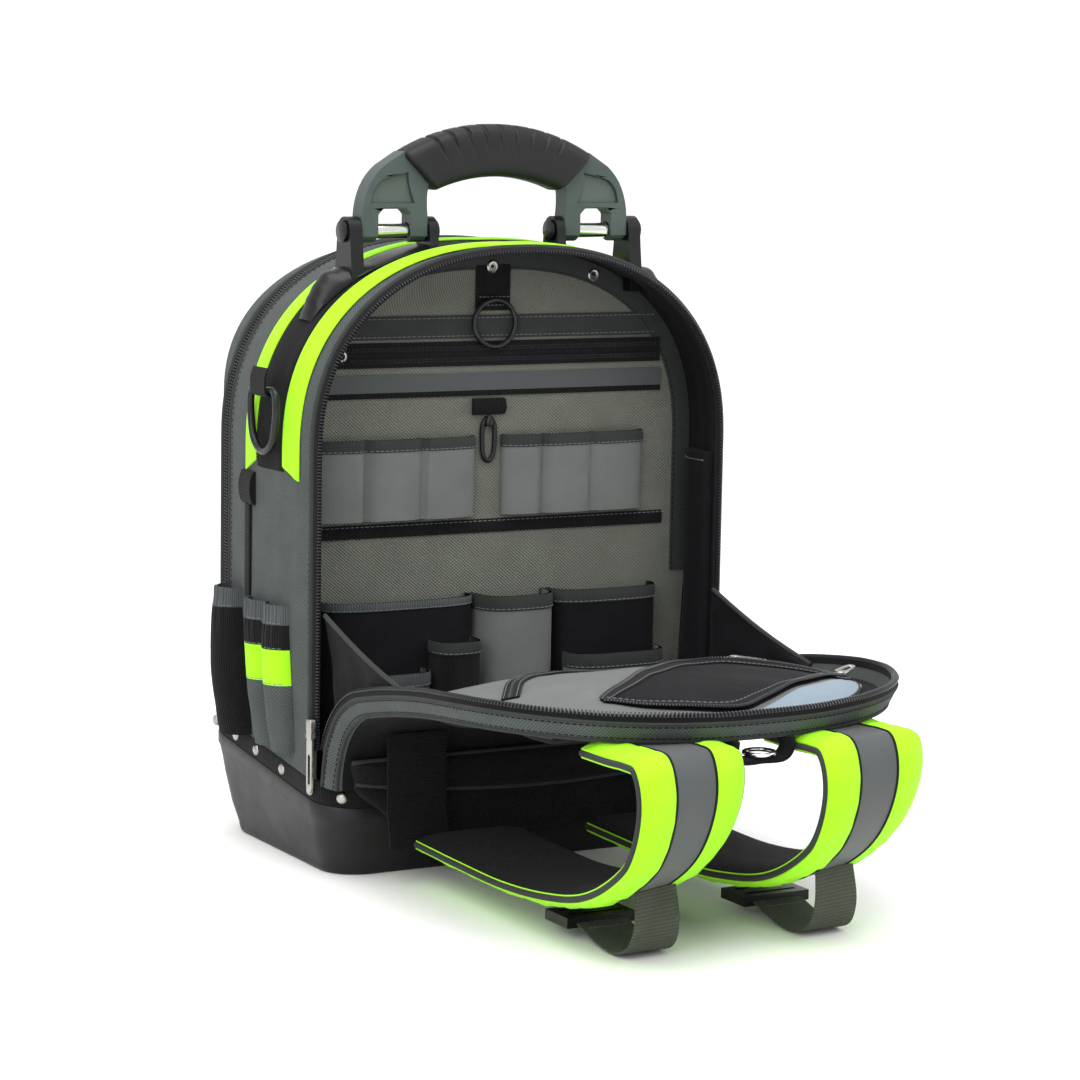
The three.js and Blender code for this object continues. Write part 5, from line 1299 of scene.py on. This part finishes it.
# Shoulder straps that hang from the flap's tip and curl back on the surface
strap = {"centre": 69, "width": 86, "thickness": 14, "skew": 15, "reach": 297, "drop": 125.8,
         "endY": -134, "lift": 21, "tapeShare": 0.39, "gather": 1.1, "gatherPitch": 17}
strapRows = [(0.77, 0.975), (0.87, 0.978), (0.93, 0.985), (0.975, 0.975), (1.0, 0.9), (1.01, 0.76),
             (0.99, 0.58), (0.94, 0.4), (0.85, 0.24), (0.74, 0.12), (0.58, 0.04), (0.4, 0.0),
             (0.2, 0.0), (0.0, 0.01)]


def strapSpot(reach, drop):
    return (0, strap["endY"] - strap["reach"] * reach, strap["lift"] + strap["drop"] * drop)


strapPath = smoothPath([strapSpot(*row) for row in strapRows])


def makeStraps():
    for side, name in ((-1, "left"), (1, "right")):
        def place(u, v, w):
            point, run = along(strapPath, u)
            edge = 2 * v - 1
            lane = abs(edge)
            thin = 1 - 0.55 * lane ** 5
            band = max(0.0, min(1, (lane - strap["tapeShare"]) * 9)) * max(0.0, min(1, (0.97 - lane) * 9))
            gather = math.sin(2 * math.pi * u * strapPath[1][-1] / strap["gatherPitch"]
                              + 2.5 * math.sin(9 * u) + 3 * edge)
            nearTape = max(0.0, 1.5 - 2 * abs(lane - strap["tapeShare"]))
            puff = strap["gather"] * band * (1.2 + 0.45 * gather * nearTape)
            puff += ripple((side * 30 + 20 * edge, u * 420, 0), 21, 1.5) * band
            inward = strap["thickness"] * ((1 - thin) / 2 + (1 - w) * thin) - puff * w
            x = side * strap["centre"] + strap["width"] / 2 * edge
            skew = strap["skew"] * edge * min(1, 3 * u) * min(1, 2.2 * (1 - u))
            return Vector((x, point.y - run.z * inward + skew, max(0.3, point.z + run.y * inward)))

        def pick(u, v, kind):
            if kind == "back":
                return 2
            return 1 if abs(2 * v - 1) < strap["tapeShare"] else 0

        spread = (0, 0.09, 0.18, 0.194, 0.196, 0.22, 0.26, 0.31, 0.36, 0.41, 0.45, 0.48, 0.5)
        lanes = sorted({round(0.5 + s * t, 4) for s in (-1, 1) for t in spread})
        pile = Pile(neon, reflect, padCloth, binding, threadGrey, threadBlack)
        pile.add(slab(place, 190, 0, pick, vs=lanes))
        for v in (0.004, 0.996):
            pile.add(tube([place(i / 150, v, 0.5) for i in range(151)], 2.3, 8), 3)
        for v in (0.5 - strap["tapeShare"] / 2, 0.5 + strap["tapeShare"] / 2):
            pile.add(tube([place(i / 150, v, 1) for i in range(151)], 1.0, 6), 5)
        piece = pile.make("shoulderStrap." + name, stands=["shoulder_strap_" + name], slot="lime_fabric",
                          sharp=60)


# Flat webbing along a path, with woven edges a little thinner than its middle
def webbingPlace(path, x0, x1, thick, shift=None):
    def place(u, v, w):
        point, run = along(path, u)
        out = thick * (w - 0.5) * (1 - 0.25 * abs(2 * v - 1) ** 8)
        y = point.y - run.z * out + (shift(v, u) if shift else 0)
        return Vector((x0 + (x1 - x0) * v, y, point.z + run.y * out))
    return place


webbing = {"width": 38, "wall": 1.8, "shift": 4, "leave": 0.42, "sag": 0.7}
loopRows = [(0.84, 0.027), (0.815, -0.097), (0.765, -0.149), (0.69, -0.136), (0.602, -0.082)]
anchor = {"centre": 108, "width": 46, "wall": 1.8}


def makeWebbing():
    onStrap, run = along(strapPath, webbing["leave"])
    off = webbing["wall"] / 2 + seatGap - webbing["sag"]
    leave = (0, onStrap.y + run.z * off, onStrap.z - run.y * off)
    loopPath = smoothPath([leave] + [strapSpot(*row) for row in loopRows])
    low = lumbar["top"]
    anchorPath = smoothPath([(0, -125.5, low + 20), (0, -126, low + 10), (0, -126.5, low - 10),
                             (0, -127.5, low - 36), (0, -132.5, 27)])
    for side, name in ((-1, "left"), (1, "right")):
        x = side * strap["centre"] + webbing["shift"]

        def skew(v, u):
            edge = (webbing["shift"] + webbing["width"] * (v - 0.5)) / (strap["width"] / 2)
            return strap["skew"] * edge * max(0, 1 - 2 * u)

        place = webbingPlace(loopPath, x - webbing["width"] / 2, x + webbing["width"] / 2,
                             webbing["wall"], skew)
        pile = Pile(greyWeb, threadGrey)
        pile.add(slab(place, 90, 16))
        stitch(pile, lineOn(place, [(0.92, 0.1), (0.92, 0.9)], 20), 1, pitch=3.4)
        pile.make("strapLoop." + name, stands=["strap_loop_" + name], slot="webbing")
        place = webbingPlace(anchorPath, side * anchor["centre"] - anchor["width"] / 2,
                             side * anchor["centre"] + anchor["width"] / 2, anchor["wall"])
        pile = Pile(blackWeb)
        pile.add(slab(place, 50, 16))
        pile.make("anchorWebbing." + name, stands=["anchor_webbing_" + name], slot="black_fabric")


makeStraps()
makeWebbing()
print("straps made")


# Flat part with an outline in X and Z, with or without a hole
def plate(outline, y0, y1, hole=None, place=None):
    loops = [outline] + ([hole] if hole else [])
    flatLoops = [[Vector((a, b, 0)) for a, b in loop] for loop in loops]
    flat = [p for loop in flatLoops for p in loop]
    count = len(flat)
    place = place or (lambda a, b, y: Vector((a, y, b)))
    points = [place(p.x, p.y, y) for y in (y0, y1) for p in flat]
    faces = []
    for tri in tessellate_polygon(flatLoops):
        a, b, c = tri
        area = (flat[b] - flat[a]).cross(flat[c] - flat[a]).z
        tri = (a, b, c) if area > 0 else (a, c, b)
        faces.append(tri)
        faces.append(tuple(count + i for i in reversed(tri)))
    first = 0
    for index, loop in enumerate(flatLoops):
        size = len(loop)
        area = sum(loop[i].x * loop[(i + 1) % size].y - loop[(i + 1) % size].x * loop[i].y
                   for i in range(size))
        flip = (area < 0) != (index == 1)
        for i in range(size):
            a, b = first + i, first + (i + 1) % size
            face = (b, a, count + a, count + b)
            faces.append(face[::-1] if flip else face)
        first += size
    return points, faces, [0] * len(faces), [(p.x / 1000, p.z / 1000) for p in points]


def curveBetween(start, control, end, steps=8):
    return [tuple((1 - t) ** 2 * start[k] + 2 * t * (1 - t) * control[k] + t * t * end[k]
                  for k in (0, 1)) for t in (i / steps for i in range(1, steps + 1))]


def soften(piece, width, segments=3, angle=35):
    edge = piece.modifiers.new("edgeRadius", "BEVEL")
    edge.width = width / 1000
    edge.segments = segments
    edge.limit_method = "ANGLE"
    edge.angle_limit = math.radians(angle)
    edge.harden_normals = True
    return piece


handle = {"y": -24, "pin": 452, "pinRadius": 5.5, "headRadius": 8, "outerEar": 10, "innerEar": 7,
          "earRadius": 10.5, "earFoot": 16, "outer": 119.5, "inner": 49, "lobe": 13.5, "lobeRadius": 8,
          "half": 8, "recess": 3, "gap": 0.35, "gripTop": 529, "gripBottom": 491, "topRadius": 153,
          "bottomRadius": 129, "topHalf": 78, "bottomHalf": 51, "gripHalf": 15, "ribs": 9,
          "ribDepth": 1.8, "footReach": 141, "saddleHalf": 17}
saddleRows = [(0, 1.8), (0.06, 5), (0.14, 9), (0.22, 12), (0.3, 14), (0.38, 11), (0.48, 5), (0.6, 2.4),
              (1, 2)]


def shareAtX(x):
    angle = math.acos((abs(x) / arch["half"]) ** (arch["power"] / 2))
    return arch["sideShare"] + (1 - 2 * arch["sideShare"]) * angle / math.pi


def makeHandle():
    y, pin = handle["y"], handle["pin"]
    outer = -handle["outer"] + handle["outerEar"] + handle["gap"]
    inner = -handle["inner"] - handle["innerEar"] - handle["gap"]
    outerSide, innerSide = outer + handle["lobe"], inner - handle["lobe"]
    gapTop = pin + 16
    outline = [(outer, pin - 4), (outer, pin + 10)]
    outline += curveBetween(outline[-1], (outer + 1, pin + 34),
                            (-handle["topHalf"] - 14, handle["gripTop"] - 30))
    outline += [(-handle["topHalf"] + 2, handle["gripTop"] - 20),
                (-handle["topHalf"] + 16, handle["gripTop"] - 24),
                (-handle["bottomHalf"] - 4, handle["gripBottom"] - 4)]
    outline += curveBetween(outline[-1], (inner - 2, pin + 27), (inner, pin + 10))
    outline += [(inner, pin - 4), (innerSide, pin - 4), (innerSide, gapTop - 4), (innerSide - 4, gapTop),
                (outerSide + 4, gapTop), (outerSide, gapTop - 4), (outerSide, pin - 4)]
    foot = pin + 20
    field = [(outerSide - 6, foot)]
    field += curveBetween(field[-1], (outerSide - 4, foot + 18),
                          (-handle["topHalf"] - 6, handle["gripTop"] - 38))
    field += [(-handle["topHalf"] + 6, handle["gripTop"] - 35)]
    field += curveBetween(field[-1], (innerSide - 3, foot + 14), (innerSide + 3, foot))
    half = handle["half"]
    for side, name in ((-1, "left"), (1, "right")):
        def mirrored(a, b, depth):
            return Vector((a * -side, depth, b))

        def flipped(part):
            points, faces, picks, coords = part
            return (points, [f[::-1] for f in faces], picks, coords) if side > 0 else part

        pile = Pile(armPlastic, armFloor)
        pile.add(flipped(plate(outline, y - half, y + half, field, mirrored)))
        pile.add(flipped(plate(field, y - half + handle["recess"], y + half - handle["recess"], None,
                               mirrored)), 1)
        for a, b in ((outer, outerSide), (innerSide, inner)):
            rows = [(handle["lobeRadius"] - 1, 0), (handle["lobeRadius"], 1),
                    (handle["lobeRadius"], b - a - 1), (handle["lobeRadius"] - 1, b - a)]
            pile.add(turned(rows, (a * -side if side < 0 else -b, y, pin), (1, 0, 0), 28))
        arm = pile.make("handleArm." + name, body="handle", stands=["handle_frame"] if side < 0 else (),
                        slot="arm_plastic")
        soften(arm, 1.1)
        reach = handle["outer"] - handle["inner"]
        ring = turned([(handle["pinRadius"] - 0.4, 0), (handle["pinRadius"], 0.8),
                       (handle["pinRadius"], reach - 0.8), (handle["pinRadius"] - 0.4, reach)],
                      (-handle["outer"] if side < 0 else handle["inner"], y, pin), (1, 0, 0), 28)
        pile = Pile(steel, blackMetal)
        pile.add(ring)
        for x, way in ((side * (handle["outer"] + 0.3), side), (side * (handle["inner"] - 0.3), -side)):
            rows = [(handle["headRadius"] - 0.6, 0), (handle["headRadius"], 0.6),
                    (handle["headRadius"], 2), (handle["headRadius"] * 0.8, 2.9), (0, 3)]
            pile.add(turned(rows, (x, y, pin), (way, 0, 0), 24), 1)
        pile.make("pivotPin." + name, stands=["pivot_pin_" + name], slot="steel")

        start, end = shareAtX(handle["footReach"]), shareAtX(handle["inner"])

        def saddle(u, v, w):
            share = start + (end - start) * u
            rise = readRows(saddleRows, u)
            under = bodyShell["wall"] / 2 + seatGap
            point = onArch(share, y + handle["saddleHalf"] * (2 * v - 1) * (1 - 0.45 * (1 - u) ** 2),
                           under + rise * w * (1 - 0.8 * abs(2 * v - 1) ** 2.5))
            return Vector((point.x * -side, point.y, point.z))

        pile = Pile(blackPlastic, blackWeb)
        pile.add(flipped(slab(saddle, 50, 14)))
        for x0, wall, bottom in ((-handle["outer"], handle["outerEar"], pin - 45),
                                 (-handle["inner"] - handle["innerEar"], handle["innerEar"], pin - 16)):
            ear = [(-handle["earFoot"], bottom), (handle["earFoot"], bottom),
                   (handle["earRadius"] + 1, pin - handle["earRadius"])]
            ear += [(handle["earRadius"] * math.cos(math.pi * i / 14),
                     pin + handle["earRadius"] * math.sin(math.pi * i / 14)) for i in range(15)]
            ear += [(-handle["earRadius"] - 1, pin - handle["earRadius"])]
            near, far = (x0, x0 + wall) if side < 0 else (-x0 - wall, -x0)
            pile.add(plate(ear, near, far, None, lambda a, b, depth: Vector((depth, y + a, b))))
        bracket = pile.make("handleBracket." + name, stands=["bracket_" + name], slot="fitting_plastic")
        soften(bracket, 1.2)


# Rubber grip between its two arcs, with ribs pressed in its upper side
def makeGrip():
    topCentre = handle["gripTop"] - handle["topRadius"]
    bottomCentre = handle["gripBottom"] - handle["bottomRadius"]
    topMost = math.asin(handle["topHalf"] / handle["topRadius"])
    bottomMost = math.asin(handle["bottomHalf"] / handle["bottomRadius"])
    ribMost = math.asin(0.68 * handle["topHalf"] / handle["topRadius"])
    spots = [ribMost * (2 * i / (handle["ribs"] - 1) - 1) for i in range(handle["ribs"])]
    rings = []
    for k in range(181):
        share = 2 * k / 180 - 1
        top, low = topMost * share, bottomMost * share
        a = Vector((handle["topRadius"] * math.sin(top), 0,
                    topCentre + handle["topRadius"] * math.cos(top)))
        b = Vector((handle["bottomRadius"] * math.sin(low), 0,
                    bottomCentre + handle["bottomRadius"] * math.cos(low)))
        middle, reach = (a + b) / 2, (a - b) / 2
        close = max(0.0, abs(share) - 0.955) / 0.045
        shrink = 1 - 0.18 * close ** 2.5
        dent = max(math.exp(-((top - s) / 0.0085) ** 4) for s in spots)
        ring = []
        for i in range(48):
            angle = 2 * math.pi * i / 48
            cos, sin = math.cos(angle), math.sin(angle)
            rise = math.copysign(abs(cos) ** 0.55, cos)
            wide = math.copysign(abs(sin) ** 0.55, sin)
            press = 1 - handle["ribDepth"] / 19 * dent * max(0.0, min(1, (rise - 0.15) * 5))
            point = middle + reach * (rise * shrink * press)
            point.y = handle["y"] - handle["gripHalf"] * wide * shrink * (press if rise > 0.2 else 1)
            ring.append(point)
        rings.append(ring)
    pile = Pile(gripRubber)
    pile.add(loft(rings))
    pile.make("handleGrip", body="handle", stands=["handle_grip"], slot="grip_rubber", sharp=50)


makeHandle()
makeGrip()
print("handle made")


# Pockets and fittings on the left side
sidePockets = {"low": 84, "under": 2.3, "wall": 1.8, "gather": 0.9}


def sidePlace(y0, y1, high, bulge, wave):
    def place(u, v, w):
        y = y0 + (y1 - y0) * u
        z = sidePockets["low"] + (high - sidePockets["low"]) * v
        bow = math.sin(math.pi * min(1, max(0, u))) ** 0.55
        top = max(0.0, (v - 0.6) / 0.4)
        pleat = sidePockets["gather"] * top * math.sin(2 * math.pi * 6 * u) * bow
        belly = bulge * bow * (1 - 0.1 * top) * (0.82 + 0.18 * math.sin(math.pi * min(1, v * 1.1)))
        out = sidePockets["under"] + sidePockets["wall"] * w + belly - sidePockets["wall"] * bow + pleat
        out += ripple((0, y, z), 20, wave) * bow
        return onArch(shareAtHeight(z, y), y, out)
    return place


def makeSidePockets():
    specs = (
        ("penPocket", "pen_pocket", 22, 50, 193, 23, [(0, 0.87, 0), (0.87, 1, 1)],
         (elasticBlack, elasticGrey)),
        ("sleeve.rear", "sleeve_rear", -25, 2, 190, 13,
         [(0, 0.46, 2), (0.46, 0.7, 3), (0.7, 0.87, 0), (0.87, 1, 1)],
         (elasticBlack, elasticGrey, ballistic, neon)),
        ("sleeve.front", "sleeve_front", -52.6, -25.6, 190, 13,
         [(0, 0.46, 2), (0.46, 0.7, 3), (0.7, 0.87, 0), (0.87, 1, 1)],
         (elasticBlack, elasticGrey, ballistic, neon)),
    )
    for name, node, y0, y1, high, bulge, bands, materials in specs:
        place = sidePlace(y0, y1, high, bulge, 0.8)

        def pick(u, v, kind):
            for low, top, index in bands:
                if low <= v < top:
                    return index
            return 1

        tops = [top for _, top, _ in bands]
        rows = sorted({round(i / 40, 4) for i in range(41)} | {top - 0.001 for top in tops}
                      | {top + 0.001 for top in tops if top < 1})
        pile = Pile(*materials, threadGrey)
        pile.add(slab(place, 40, 0, pick, vs=[min(1, r) for r in rows]))
        for top in tops[:-1]:
            stitch(pile, lineOn(place, [(0.05, top + 0.01), (0.95, top + 0.01)], 40), len(materials))
        pile.make(name, stands=[node], slot="black_fabric")


sideTape = {"from": 5, "width": 10, "low": 104, "high": 255.7}
clipLoop = {"from": -3, "width": 22, "low": 256, "height": 24}
ringFitting = {"wire": 5.5, "half": 21, "drop": 44, "top": 341, "y": -24, "width": 24}
ringRows = [(-0.78, 0), (-0.4, 0), (0, 0), (0.4, 0), (0.78, 0), (1, -0.1), (1, -0.45), (0.72, -0.84),
            (0, -1), (-0.72, -0.84), (-1, -0.45), (-1, -0.1)]


def makeSideFittings():
    def tapePlace(u, v, w):
        z = sideTape["low"] + (sideTape["high"] - sideTape["low"]) * u
        y = sideTape["from"] + sideTape["width"] * v
        out = sidePockets["under"] + 2 * w * (1 - 0.3 * abs(2 * v - 1) ** 6)
        return onArch(shareAtHeight(z, y), y, out)

    pile = Pile(blackWeb, threadGrey)
    pile.add(slab(tapePlace, 40, 8))
    pile.make("tapeStrap", stands=["tape_strap"], slot="black_fabric")

    def clipPlace(u, v, w):
        z = clipLoop["low"] + clipLoop["height"] * u
        y = clipLoop["from"] + clipLoop["width"] * v
        out = sidePockets["under"] + (1.6 + 3.4 * math.sin(math.pi * u) ** 0.6) * w
        return onArch(shareAtHeight(z, y), y, out)

    pile = Pile(blackWeb, threadGrey)
    pile.add(slab(clipPlace, 20, 16))
    pile.make("clipLoop", stands=["clip_loop"], slot="black_fabric")

    side = arch["half"] + bodyShell["bulge"] + bodyShell["wall"] / 2 + ringFitting["wire"] / 2 + 1.2
    outline = [(a * ringFitting["half"], d * ringFitting["drop"]) for a, d in ringRows]
    pile = Pile(blackMetal)
    radius = ringFitting["wire"] / 2

    def ringPlace(a, d):
        return Vector((-side, ringFitting["y"] + a, ringFitting["top"] + d))

    pile.add(wireRing(outline, ringPlace, radius, 14, 120))
    pile.make("sideRing", stands=["d_ring"], slot="steel")
    half = ringFitting["width"] / 2

    def wrap(u, v, w):
        out = radius + 0.5 + 1.7 * w
        y = ringFitting["y"] - half + 2 * half * v
        if u < 0.3:
            z = ringFitting["top"] + 16 * (1 - u / 0.3)
            return Vector((-side - out * min(1, (1 - (1 - u / 0.3)) + 0.55), y, z))
        angle = math.pi * (u - 0.3) / 0.7
        return Vector((-side - out * math.cos(angle), y, ringFitting["top"] - out * math.sin(angle)))

    pile = Pile(blackWeb, threadGrey, nickel)
    pile.add(slab(wrap, 30, 14))
    for shift in (-5, 5):
        spot = Vector((-side - 2.4, ringFitting["y"] + shift, ringFitting["top"] + 10))
        dome(pile, spot, Vector((-1, 0, 0)), 2, 3, 1.6)
    pile.make("ringTabLeft", stands=["ring_loop"], slot="black_fabric")


haul = {"inset": 8, "radius": 10, "wire": 3, "half": 21, "drop": 14, "width": 15, "wall": 5}
haulRows = [(-1, 0), (-1, 0.55), (-0.78, 0.95), (0, 1), (0.78, 0.95), (1, 0.55), (1, 0)]


def makeHaulLoop():
    tip = onFlap(0, flapLength - haul["inset"], 0)
    top = tip.z - 2 * seatGap
    height = top - haul["drop"] + haul["wall"] / 2 + haul["wire"] / 2 + 0.35
    pile = Pile(steel)
    pile.add(wireRing(circle(haul["radius"]), lambda a, d: Vector((a, tip.y + d, height)),
                      haul["wire"] / 2, 12, 60))
    pile.make("haulRing", stands=["haul_ring"], slot="steel")
    path = smoothPath([(across * haul["half"], 0, top - down * haul["drop"])
                       for across, down in haulRows])

    def place(u, v, w):
        point, run = along(path, u)
        edge = 2 * v - 1
        out = haul["wall"] * (w - 0.5) * (1 - 0.5 * edge ** 4)
        return Vector((point.x - run.z * out, tip.y + haul["width"] / 2 * edge, point.z + run.x * out))

    pile = Pile(padCloth)
    pile.add(slab(place, 44, 12))
    pile.make("haulLoop", stands=["haul_loop"], slot="black_fabric")


slider = {"lift": 30, "length": 15, "pull": 38}


def makeSlider():
    x = -arch["half"] - bodyShell["wall"] / 2 - 2 * seatGap
    low = rimAt(bodyShell["front"]) + tub["stripHeight"] + slider["lift"]
    y = bodyShell["front"]
    section = ((-1, -0.7), (-0.7, -1), (0.7, -1), (1, -0.7), (1, 0.7), (0.7, 1), (-0.7, 1), (-1, 0.7))
    rings = []
    for share, swell in ((0, 0.75), (0.15, 1), (0.5, 0.9), (0.85, 1), (1, 0.75)):
        z = low + slider["length"] * share
        rings.append([Vector((x - 2.5 + 2.6 * a * swell, y - 5.1 + 4.8 * b * swell, z))
                      for a, b in section])
    pile = Pile(nickel)
    pile.add(loft(rings))
    tip = low - slider["pull"]
    outline = [(-4.2, low + 1), (-4.2, tip + 5), (-2.6, tip + 1), (0, tip), (2.6, tip + 1),
               (4.2, tip + 5), (4.2, low + 1), (2, low + 3), (-2, low + 3)]
    hole = [(-2.0, tip + 6), (0, tip + 4), (2.0, tip + 6), (2.0, tip + 26), (0, tip + 28),
            (-2.0, tip + 26)]
    pile.add(plate(outline, x - 3.6, x - 1.4, hole, lambda a, b, depth: Vector((depth, y - 4.9 + a, b))))
    soften(pile.make("zipSlider", stands=["zip_slider"], slot="nickel"), 0.5, 2)


makeSidePockets()
makeSideFittings()
makeHaulLoop()
makeSlider()
print("side fittings made")


# Moulded strap adjusters keep their CAD shape, with softened edges
for side in ("left", "right"):
    adjuster = bpy.data.objects.get("ladder_lock_" + side)
    if adjuster:
        adjuster.data.materials.clear()
        adjuster.data.materials.append(blackPlastic)
        soften(adjuster, 1.2, 3)


# Pale floor and soft studio light
def makeStudio():
    material, tree = emptyMaterial("paperSweep")
    skin = put(tree, "ShaderNodeBsdfPrincipled",
               {"Base Color": linear("#F4F4F2"), "Roughness": 0.9, "Specular IOR Level": 0.2})
    put(tree, "ShaderNodeOutputMaterial", {"Surface": skin.outputs[0]})
    mesh = bpy.data.meshes.new("floor")
    size = 60
    mesh.from_pydata([(-size, -size, 0), (size, -size, 0), (size, size, 0), (-size, size, 0)], [],
                     [(0, 1, 2, 3)])
    mesh.materials.append(material)
    floor = bpy.data.objects.new("floor", mesh)
    scene.collection.objects.link(floor)
    world = bpy.data.worlds.new("studio")
    world.use_nodes = True
    world.node_tree.nodes["Background"].inputs[0].default_value = (1, 1, 1, 1)
    world.node_tree.nodes["Background"].inputs[1].default_value = 1.02
    scene.world = world
    lamps = (("overhead", (-0.3, -0.6, 2.0), 1.6, 26), ("frontLeft", (-2.2, -1.8, 1.5), 1.4, 22),
             ("right", (2.0, -1.0, 1.4), 1.2, 12))
    aim = Vector((0, -0.1, 0.25))
    for name, place, size, power in lamps:
        light = bpy.data.lights.new(name, "AREA")
        light.size = size
        light.energy = power
        lamp = bpy.data.objects.new(name, light)
        lamp.location = place
        lamp.rotation_euler = (aim - Vector(place)).to_track_quat("-Z", "Y").to_euler()
        scene.collection.objects.link(lamp)
    daylight = bpy.data.lights.new("ceiling", "SUN")
    daylight.energy = 0.9
    daylight.angle = math.radians(70)
    lamp = bpy.data.objects.new("ceiling", daylight)
    lamp.rotation_euler = (0.2, -0.25, 0)
    scene.collection.objects.link(lamp)
    scene.view_settings.view_transform = "Standard"


makeStudio()
